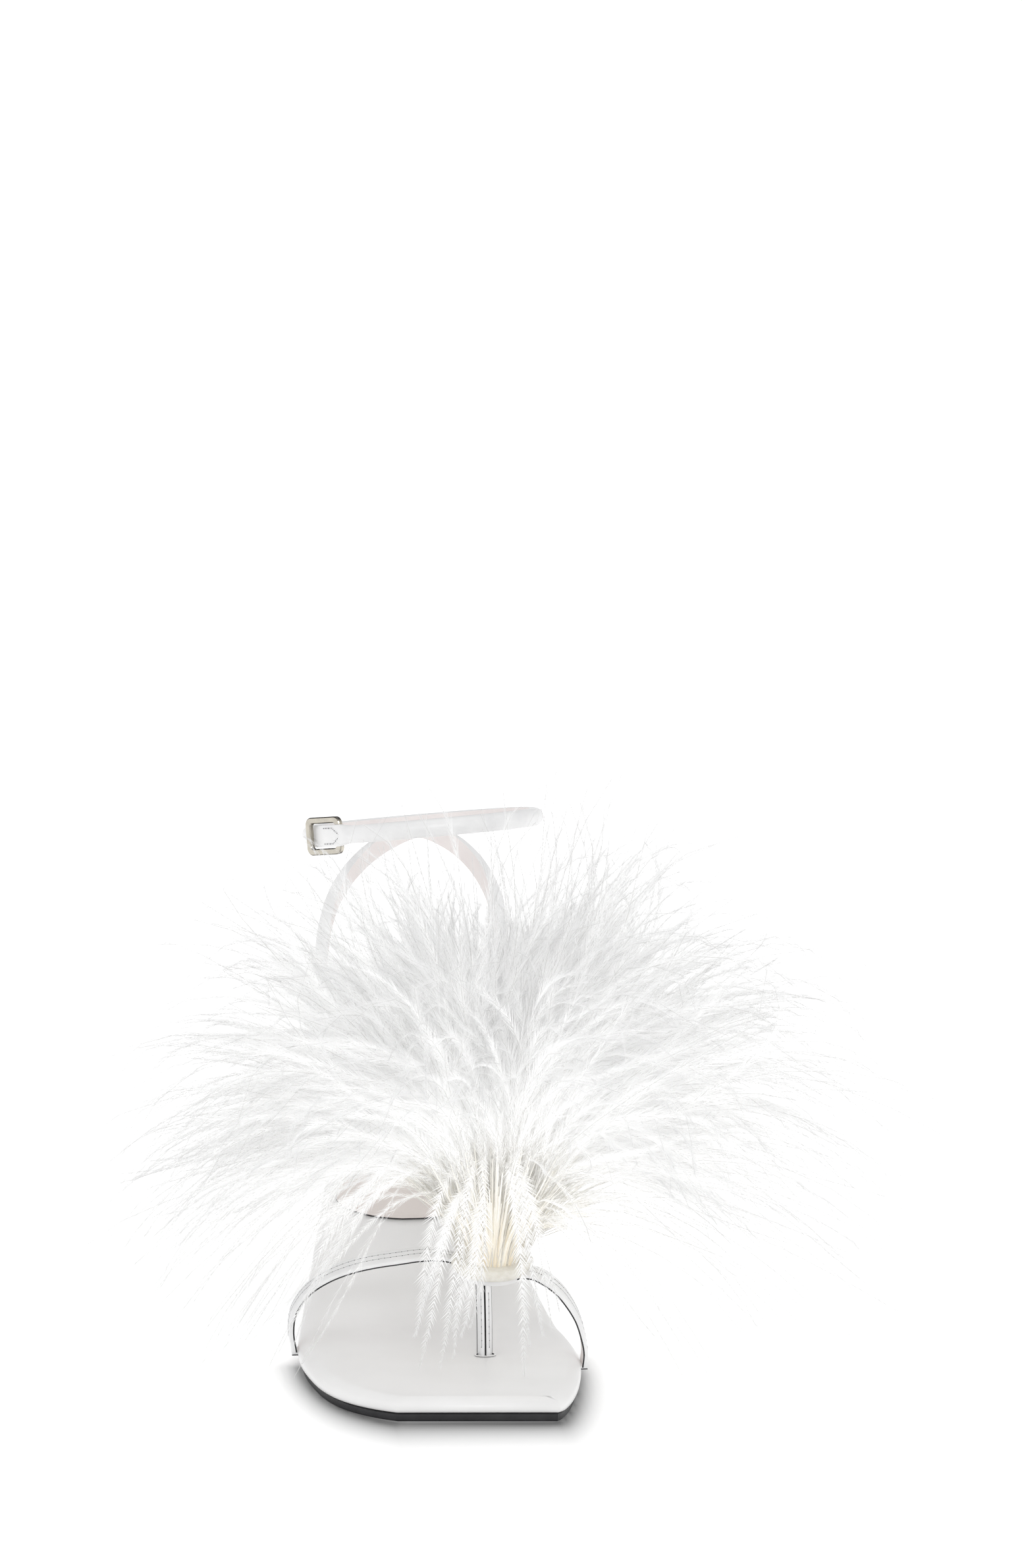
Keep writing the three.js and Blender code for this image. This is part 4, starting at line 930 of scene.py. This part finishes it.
bloom_centre = vec(4, 15.2, 80)
# Circle of the disc that the fronds of the bloom grow from, their lean outward and their height over it
ROOT_RADIUS, ROOT_LEAN, ROOT_LIFT = 7.5, 2.5, 0.2
# Reach of the bloom from its centre, and what the sides, the top and the low sides add
REACH, REACH_WIDE, REACH_UP, REACH_LOW = 80, 32, 4, 30
# Fronds of the bloom: rise from the disc, flare outward, sag of the tip and sway along the way
BLOOM_RISE, BLOOM_FLARE, BLOOM_SAG, BLOOM_SWAY = (34, 58), (6, 22), 15, (1, 8)
# Falling fronds: the oval that they grow from, and how far out and up the shortest ones end
FALL_OVAL_LONG, FALL_OVAL_WIDE, FALL_OUT, FALL_UP = 7, 8.5, 30, 12
# Quills: how far out their foot, knee and head stand, the knee's height, the head's height, and the radius
QUILL_FOOT, QUILL_KNEE, QUILL_HEAD = 8.2, 10, 23
QUILL_KNEE_HEIGHT, QUILL_HEIGHTS, QUILL_RADII = 14, (24, 44), (0.3, 0.55)
# Corners of the box that holds the tips of the bloom
TIPS_LOW, TIPS_HIGH = vec(-90, -100, 6), vec(95, 145, 171)
# Stations of a shaft and its half width, scatter of the barbs, and length of the last barbs as a share
SHAFT_STATIONS, SHAFT_HALF, BARB_SCATTER, TIP_SHARE = 10, 0.15, 0.3, 0.3


def frond_paths(roots, firsts, seconds, tips, sway):
    """Paths of fronds: a function from shares to points and tangents, with a slow wave along each"""
    count = len(roots)
    normals = unit(np.cross(unit(tips - roots), rng.normal(size=(count, 3))))
    rate = rng.uniform(0.5, 1.4, (count, 1))
    phase = rng.uniform(0, 1, (count, 1))

    def read(t):
        t = np.broadcast_to(t, (count, t.shape[-1]))[..., None]
        at = ((1 - t) ** 3 * roots[:, None] + 3 * t * (1 - t) ** 2 * firsts[:, None]
              + 3 * t**2 * (1 - t) * seconds[:, None] + t**3 * tips[:, None])
        wave = np.sin(2 * math.pi * (rate[:, None] * t + phase[:, None])) * np.abs(t) ** 1.5
        return at + normals[:, None] * wave * sway[:, None, None]

    def full(t):
        step = 0.004
        return read(t), unit(read(t + step) - read(t - step))
    return full


def fronds(paths, length, barb, pitch, bare, twist, spread=18, face=None):
    """Ribbons for the shafts and a thin triangle for each barb. Returns points, faces and plume values"""
    count = len(length)
    tone = rng.uniform(0, 1, count)
    start = rng.normal(size=(count, 1, 3)) if face is None else np.broadcast_to(face, (count, 1, 3))

    def sides(travel, t):
        side = unit(np.cross(travel, np.broadcast_to(start, travel.shape)))
        up = np.cross(travel, side)
        angle = (twist[:, None] * t)[..., None]
        return side * np.cos(angle) + up * np.sin(angle), up * np.cos(angle) - side * np.sin(angle)

    shares = np.broadcast_to(np.linspace(0, 1, SHAFT_STATIONS), (count, SHAFT_STATIONS))
    at, travel = paths(shares)
    side, _ = sides(travel, shares)
    half = SHAFT_HALF * (1 - 0.7 * shares)[..., None]
    points = [np.stack([at - side * half, at + side * half], 2).reshape(-1, 3)]
    ids = np.arange(shares.size * 2).reshape(*shares.shape, 2)
    a, b, c, d = ids[:, :-1, 0], ids[:, :-1, 1], ids[:, 1:, 1], ids[:, 1:, 0]
    faces = [np.stack([a, b, c], -1).reshape(-1, 3), np.stack([a, c, d], -1).reshape(-1, 3)]
    plume = np.stack([shares, np.broadcast_to(tone[:, None], shares.shape), np.ones(shares.shape)], -1)
    values = [np.repeat(plume.reshape(-1, 3), 2, axis=0)]
    total = len(points[0])

    barbs = int(round(float(np.mean(length)) * (1 - bare) / pitch))
    t = bare + (1 - bare) * (np.arange(barbs) + 0.5) / barbs
    t = np.clip(t[None] + rng.uniform(-0.4, 0.4, (count, barbs)) * (1 - bare) / barbs, 0, 1)
    at, travel = paths(t)
    side, normal = sides(travel, t)
    grow = smoothstep(t, bare, bare + 0.2) * 0.6 + 0.4
    taper = 1 - (1 - TIP_SHARE) * smoothstep(t, 0.7, 1.0)
    lean = np.radians(spread) * (1 - 0.35 * t)
    for sign in (-1, 1):
        far = barb[:, None] * grow * taper * rng.uniform(0.65, 1.25, t.shape)
        angle = lean * rng.uniform(0.75, 1.25, t.shape)
        off = rng.normal(0, BARB_SCATTER, t.shape) * np.sin(angle)
        way = (travel * np.cos(angle)[..., None] + sign * side * np.sin(angle)[..., None]
               + normal * off[..., None])
        tip = at + way * far[..., None]
        width = 0.12 + 0.03 * far[..., None]
        points.append(np.stack([at - travel * width, at + travel * width, tip], 2).reshape(-1, 3))
        faces.append(total + np.arange(count * barbs * 3).reshape(-1, 3))
        plume = np.stack([t, np.broadcast_to(tone[:, None], t.shape), np.zeros(t.shape)], -1)
        values.append(np.repeat(plume.reshape(-1, 3), 3, axis=0))
        total += count * barbs * 3
    return np.concatenate(points), np.concatenate(faces), np.concatenate(values)


def feather_piece(name, parts, material, *nodes):
    """One piece from several families of fronds"""
    points, faces, values, count = [], [], [], 0
    for verts, tris, tones in parts:
        points.append(verts)
        faces.append(tris + count)
        values.append(tones)
        count += len(verts)
    points, faces, values = np.concatenate(points), np.concatenate(faces), np.concatenate(values)
    mesh = bpy.data.meshes.new(name)
    mesh.vertices.add(len(points))
    mesh.vertices.foreach_set("co", (points * MM).astype(np.float32).ravel())
    mesh.loops.add(len(faces) * 3)
    mesh.loops.foreach_set("vertex_index", faces.astype(np.int32).ravel())
    mesh.polygons.add(len(faces))
    mesh.polygons.foreach_set("loop_start", np.arange(0, len(faces) * 3, 3, dtype=np.int32))
    mesh.update(calc_edges=True)
    tones = mesh.color_attributes.new("plume", "FLOAT_COLOR", "POINT")
    colours = np.ones((len(points), 4), np.float32)
    colours[:, :3] = values
    tones.data.foreach_set("color", colours.ravel())
    mesh.materials.append(material)
    piece = bpy.data.objects.new(name, mesh)
    bpy.context.scene.collection.objects.link(piece)
    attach(piece, "root")
    if nodes:
        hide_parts(*nodes)
    return piece


def direction(turn, lift):
    turn, lift = np.radians(turn), np.radians(lift)
    return np.stack([np.cos(lift) * np.cos(turn), np.cos(lift) * np.sin(turn), np.sin(lift)], -1)


def reach_of(way):
    """How far the bloom reaches in a direction, in millimetres from its centre"""
    wide, low = np.abs(way[..., 1]), np.maximum(-way[..., 2], 0)
    return REACH + REACH_WIDE * wide + REACH_UP * np.maximum(way[..., 2], 0) + REACH_LOW * low * wide


def low_lift(turn):
    """Lowest lift of a clump, in degrees: high in front, where the quills show, and low at the sides"""
    knots = [0, 35, 60, 90, 130, 180, 230, 270, 305, 325, 360]
    lifts = [22, 14, -14, -36, -24, -8, -18, -26, -14, 12, 22]
    return np.interp(turn % 360, knots, lifts)


# Clumps of the bloom, spread evenly over the directions that feathers take
candidates = 210
LOWEST_LIFT, GOLDEN_TURN = -36, 137.508
height = np.linspace(math.sin(math.radians(LOWEST_LIFT)), 0.995, candidates)
turn = (np.arange(candidates) * GOLDEN_TURN + rng.normal(0, 7, candidates)) % 360
lift = np.degrees(np.arcsin(height)) + rng.normal(0, 3, candidates)
kept = lift > low_lift(turn)
clump_way = direction(turn[kept], lift[kept])
clump_reach = reach_of(clump_way) * rng.uniform(0.7, 1.12, kept.sum())
# Tips of the longest clumps, in millimetres
long_tips = np.array([
    (16, 58, 172), (8, 80, 157), (4, 30, 173), (-4, -8, 170), (14, -34, 158), (10, -57, 140), (-6, -68, 120),
    (12, -80, 99), (4, -90, 73), (-6, -97, 47), (10, 93, 128), (-8, 106, 118), (14, 117, 96), (-6, 120, 78),
    (10, 127, 60), (-4, 139, 60), (8, 132, 38), (-50, 60, 140), (-60, -20, 135), (70, 40, 120),
    (66, -20, 112),
    (0, 44, 168), (6, -46, 150), (-4, -74, 112), (8, -86, 88), (-2, -98, 62), (14, -92, 34), (-10, -84, 30),
    (6, 68, 163), (0, 100, 124), (8, 112, 106), (4, 124, 88), (-8, 132, 72), (2, 138, 50), (12, 122, 30),
    (2, 52, 176), (10, 36, 170), (-8, 20, 166), (10, -22, 160), (4, -62, 134), (-4, -98, 84), (6, -100, 54),
    (-6, -98, 66), (10, -96, 40), (4, 132, 84), (-4, 126, 100), (8, 134, 70), (2, 122, 112), (-6, 88, 146),
], float)
long_way = long_tips - bloom_centre
clump_way = np.vstack([clump_way, unit(long_way)])
clump_reach = np.concatenate([clump_reach, np.linalg.norm(long_way, axis=1)])
clump_long = np.arange(len(clump_way)) >= kept.sum()
clump_bend = rng.normal(0, 1, clump_way.shape) * np.where(clump_long, 3, 10)[:, None] * vec(1, 1, 0.6)


def bloom_family(clumps, per_clump, reach_low, reach_high, jitter, barb, pitch):
    """Fronds of some clumps of the bloom"""
    per = np.where(clump_long[clumps], per_clump // 2, per_clump)
    mine = np.repeat(clumps, per)
    count = len(mine)
    long = clump_long[mine]
    way = unit(clump_way[mine] + rng.normal(0, 1, (count, 3)) * np.where(long, 0.5 * jitter, jitter)[:, None])
    share = mix(reach_low, reach_high, rng.uniform(0, 1, count) ** 0.85)
    share = np.where(~long & (rng.uniform(0, 1, count) < 0.05), share + 0.1, share)
    share = np.where(long, mix(share, 1.06, 0.55), share * (1 - 0.14 * np.maximum(way[:, 2], 0)))
    reach = clump_reach[mine] * share
    swirl = rng.uniform(0, 2 * math.pi, count)
    rim = np.sqrt(rng.uniform(0, 1, count)) * ROOT_RADIUS
    local = np.stack([np.cos(swirl) * rim, np.sin(swirl) * rim,
                      np.full(count, DISC_THICKNESS + ROOT_LIFT)], 1)
    local[:, :2] += way[:, :2] * ROOT_LEAN
    roots = local @ disc_turn.T + disc_centre
    level = 1 - np.abs(way[:, 2])
    tips = bloom_centre + way * reach[:, None] + clump_bend[mine] * (share**2)[:, None]
    tips[:, 2] -= np.where(long, 0, BLOOM_SAG) * level * share
    flare = way * vec(1, 1, 0) * rng.uniform(*BLOOM_FLARE, count)[:, None]
    firsts = roots + disc_up * rng.uniform(*BLOOM_RISE, count)[:, None] + flare
    arrive = unit(way + clump_bend[mine] * 0.05 + np.stack(
        [rng.normal(0, 0.3, count), rng.normal(0, 0.3, count), -1.1 * level + rng.normal(0, 0.3, count)], 1))
    seconds = tips - arrive * (reach * rng.uniform(0.3, 0.6, count))[:, None]
    tips = np.clip(tips, TIPS_LOW, TIPS_HIGH)
    paths = frond_paths(roots, firsts, seconds, tips, rng.uniform(*BLOOM_SWAY, count))
    return fronds(paths, reach + 42, rng.uniform(*barb, count), pitch, 0.26, rng.normal(0, 2.5, count))


wedge_names = ["plumes_front", "plumes_front_medial", "plumes_back_medial", "plumes_back",
               "plumes_back_lateral", "plumes_front_lateral"]
wedge_of = ((np.degrees(np.arctan2(clump_way[:, 1], clump_way[:, 0])) + 30) % 360 // 60).astype(int)
for wedge, name in enumerate(wedge_names):
    mine = np.flatnonzero(wedge_of == wedge)
    feather_piece(name, [
        bloom_family(mine, 12, 0.5, 1.0, 0.055, (4.5, 9.0), 0.85),
        bloom_family(mine, 5, 0.2, 0.55, 0.25, (4.0, 8.0), 1.0),
    ], plume_white, "feather_bunch_top")


def hanging_family(tips, per_clump, spread_mm, rise, barb, pitch, face=None, sway=3.0, spread=24):
    """Fronds that arch out from the disc and hang to the tips of their clumps"""
    tips = np.repeat(np.asarray(tips, float), per_clump, axis=0)
    count = len(tips)
    drop = rng.uniform(0, 1, count)
    tips = tips + rng.normal(0, 1, (count, 3)) * spread_mm
    level = tips - disc_centre
    level[:, 2] = 0
    way = unit(level)
    tips = mix(tips, disc_centre + way * FALL_OUT + UPWARD * FALL_UP, (drop * 0.3)[:, None])
    far = np.linalg.norm(tips - disc_centre, axis=1)
    roots = np.stack([way[:, 0] * FALL_OVAL_LONG, way[:, 1] * FALL_OVAL_WIDE,
                      np.full(count, DISC_THICKNESS + 0.3)], 1)
    roots = roots @ disc_turn.T + disc_centre
    firsts = roots + way * (far * 0.16)[:, None] + UPWARD * (rise * rng.uniform(0.7, 1.3, count))[:, None]
    down = unit(way * 0.55 - UPWARD * 0.8)
    seconds = tips - down * (far * 0.38)[:, None]
    tips[:, 2] = np.maximum(tips[:, 2], 3)
    paths = frond_paths(roots, firsts, seconds, tips, rng.uniform(0.3, sway, count))
    twist = rng.normal(0, 0.4 if face is not None else 2, count)
    return fronds(paths, far * 1.2, rng.uniform(*barb, count), pitch, 0.18, twist, spread=spread, face=face)


# Tips of the clumps that fall to each side, and of those that hang in front of the disc
lateral_tips = [(-38, -82, 46), (-20, -96, 42), (0, -98, 44), (12, -94, 30), (16, -84, 16), (10, -78, 5),
                (26, -68, 8), (36, -58, 5)]
medial_tips = [(-38, 98, 48), (-20, 118, 50), (0, 130, 46), (14, 128, 34), (28, 116, 20), (42, 104, 6),
               (50, 84, 5), (56, 60, 6), (30, 96, 14)]
front_tips = [(47, -3, 11), (44, 3, 13), (46, 21, 12), (40, -8, 22), (38, 30, 24)]
feather_piece("plumes_falling_lateral", [
    hanging_family(lateral_tips, 9, vec(7, 5, 4), 62, (3, 6), 0.8, sway=7),
], plume_white, "feather_bunch_lateral")
feather_piece("plumes_falling_medial", [
    hanging_family(medial_tips, 6, vec(7, 8, 5), 34, (3, 6), 0.8, sway=7),
], plume_white, "feather_bunch_medial")
feather_piece("plumes_hanging_front", [
    hanging_family(front_tips, 3, vec(2, 3, 3), 62, (3.2, 4.6), 0.45, face=FORWARD, sway=3, spread=42),
], plume_white, "feather_bunch_top")


def quill_bundle(count, sides=5, stations=6):
    """Bare cream quills that stand in the disc and flare into the bloom"""
    shape = Shape()
    tones = []
    shares = np.linspace(0, 1, stations)
    turns = round_turns(sides)
    circle = np.stack([np.cos(turns), np.sin(turns), 0 * turns], 1)
    for turn, share, lean in zip(rng.uniform(0, 2 * math.pi, count), rng.uniform(0.1, 1, count) ** 0.4,
                                 rng.uniform(0.7, 1.3, count)):
        around = vec(math.cos(turn), math.sin(turn), 0)
        foot = around * share * QUILL_FOOT + UPWARD * (DISC_THICKNESS - 0.6)
        head = around * share * QUILL_HEAD * lean + UPWARD * rng.uniform(*QUILL_HEIGHTS)
        knee = around * share * QUILL_KNEE + UPWARD * QUILL_KNEE_HEIGHT
        path = bezier([foot, knee, head], shares) @ disc_turn.T + disc_centre
        radius = rng.uniform(*QUILL_RADII)
        rings = [point + circle * radius * (1 - 0.7 * step) for point, step in zip(path, shares)]
        shape.add(*skin(rings, caps=False))
        tone = rng.uniform(0, 1) ** 0.7
        # Low plume shares give the quills nearly the strongest painted glow
        tones += [(0.03 + 0.36 * step, tone, 0, 1) for step in shares for _ in turns]
    piece = shape.piece("quill_bundle", [quill_cream], slot_name="ostrich_feather")
    values = piece.data.color_attributes.new("plume", "FLOAT_COLOR", "POINT")
    values.data.foreach_set("color", np.asarray(tones, np.float32).ravel())
    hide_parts("feather_bunch_top")


quill_bundle(340)


# Camera, floor and light

camera_data = bpy.data.cameras.new("camera")
camera = bpy.data.objects.new("camera", camera_data)
bpy.context.scene.collection.objects.link(camera)
camera_data.sensor_fit = "VERTICAL"
camera_data.sensor_height = 36
camera_data.lens = 176.37
sight = Vector((-0.97737506, 0.09511156, -0.18892269))
camera.location = (2.11695, -0.18521, 0.57740)
camera.rotation_euler = sight.to_track_quat("-Z", "Y").to_euler()
bpy.context.scene.camera = camera


def floor_material():
    """Pale floor with a painted shadow: darker, and glowing less, where it lies close to the sole"""
    made, tree, shader = new_material("pale_floor")
    close = node(tree, "ShaderNodeAttribute", attribute_name="painted_shadow")
    tone = node(tree, "ShaderNodeMix", data_type="RGBA", inputs={
        MIX_FIRST: (0.92, 0.92, 0.92, 1), MIX_SECOND: (0.05, 0.05, 0.05, 1)})
    glow = node(tree, "ShaderNodeMapRange", inputs={"To Min": 0.42, "To Max": 0.0})
    wire(
        tree,
        (close, "Fac", tone, "Factor"), (close, "Fac", glow, "Value"),
        (tone, MIX_RESULT, shader, "Base Color"), (glow, "Result", shader, "Emission Strength"),
    )
    set_inputs(shader, {"Roughness": 0.9, "Specular IOR Level": 0.1, "Emission Color": (1, 1, 1, 1)})
    made.cycles.emission_sampling = "NONE"
    return made


# Painted shadow of the sole on the floor: its strength, its reach in metres, and how much longer it is in
# front
CONTACT_SHADE, CONTACT_REACH, CONTACT_STRETCH = 0.85, 0.0055, 3.4
FLOOR_STEP = 0.002


def build_floor(sole):
    """A grid that is fine round the toe, with a painted shadow from how close each point lies to the sole"""
    fine = np.arange(-0.1, 0.16, FLOOR_STEP)
    ticks = np.concatenate([[-8, -2, -0.5], fine, [0.5, 2, 8]])
    x, y = np.meshgrid(ticks, ticks, indexing="ij")
    points = np.stack([x.ravel(), y.ravel()], 1)
    tread = np.array([vertex.co[:] for vertex in sole.data.vertices])
    tread = tread[(tread[:, 2] < 0.0012) & (tread[:, 0] > 0.0)][:, :2]
    middle = tread.mean(0)
    ring = tread[np.argsort(np.arctan2(tread[:, 1] - middle[1], tread[:, 0] - middle[0]))]
    near = np.full(len(points), 9.0)
    for start, end in zip(ring, np.roll(ring, -1, 0)):
        for share in np.arange(0, 1, FLOOR_STEP / max(FLOOR_STEP, np.linalg.norm(end - start))):
            step = points - mix(start, end, share)
            step[:, 0] /= np.where(step[:, 0] > 0, CONTACT_STRETCH, 1)
            near = np.minimum(near, np.linalg.norm(step, axis=1))
    painted_shadow = CONTACT_SHADE * np.exp(-(near / CONTACT_REACH) ** 1.05)
    mesh = bpy.data.meshes.new("floor")
    ids = np.arange(len(points)).reshape(x.shape)
    faces = np.stack([ids[:-1, :-1], ids[1:, :-1], ids[1:, 1:], ids[:-1, 1:]], -1).reshape(-1, 4)
    mesh.from_pydata(np.column_stack([points, np.zeros(len(points))]).tolist(), [], faces.tolist())
    shade = mesh.attributes.new("painted_shadow", "FLOAT", "POINT")
    shade.data.foreach_set("value", painted_shadow.astype(np.float32))
    mesh.materials.append(floor_material())
    ground = bpy.data.objects.new("floor", mesh)
    bpy.context.scene.collection.objects.link(ground)


build_floor(bpy.data.objects["outsole_edge"])

# Strength of the white room, in the picture and as light
ROOM_SEEN, ROOM_LIGHT = 1.05, 0.72

world = bpy.data.worlds.new("studio")
bpy.context.scene.world = world
world.use_nodes = True
backdrop = world.node_tree.nodes["Background"]
backdrop.inputs["Color"].default_value = (1, 1, 1, 1)
seen = node(world.node_tree, "ShaderNodeLightPath")
strength = node(world.node_tree, "ShaderNodeMapRange", inputs={"To Min": ROOM_LIGHT, "To Max": ROOM_SEEN})
wire(world.node_tree, (seen, "Is Camera Ray", strength, "Value"), (strength, "Result", backdrop, "Strength"))


def soft_light(name, place_at, aim, size, power):
    data = bpy.data.lights.new(name, "AREA")
    data.shape = "DISK"
    data.size = size
    data.energy = power
    lamp = bpy.data.objects.new(name, data)
    bpy.context.scene.collection.objects.link(lamp)
    lamp.location = place_at
    lamp.rotation_euler = (Vector(aim) - Vector(place_at)).to_track_quat("-Z", "Y").to_euler()


soft_light("key_light", (0.7, -0.9, 1.3), (0, 0, 0.05), 0.6, 0.6)
soft_light("top_light", (-0.3, 0.2, 1.6), (0, 0, 0.05), 0.9, 0.7)
soft_light("front_light", (1.3, 0.1, 0.8), (0, 0, 0.04), 0.5, 3.1)

view = bpy.context.scene.view_settings
view.view_transform = "Standard"
view.look = "None"
view.exposure = 0.12
bpy.context.scene.cycles.diffuse_bounces = 8
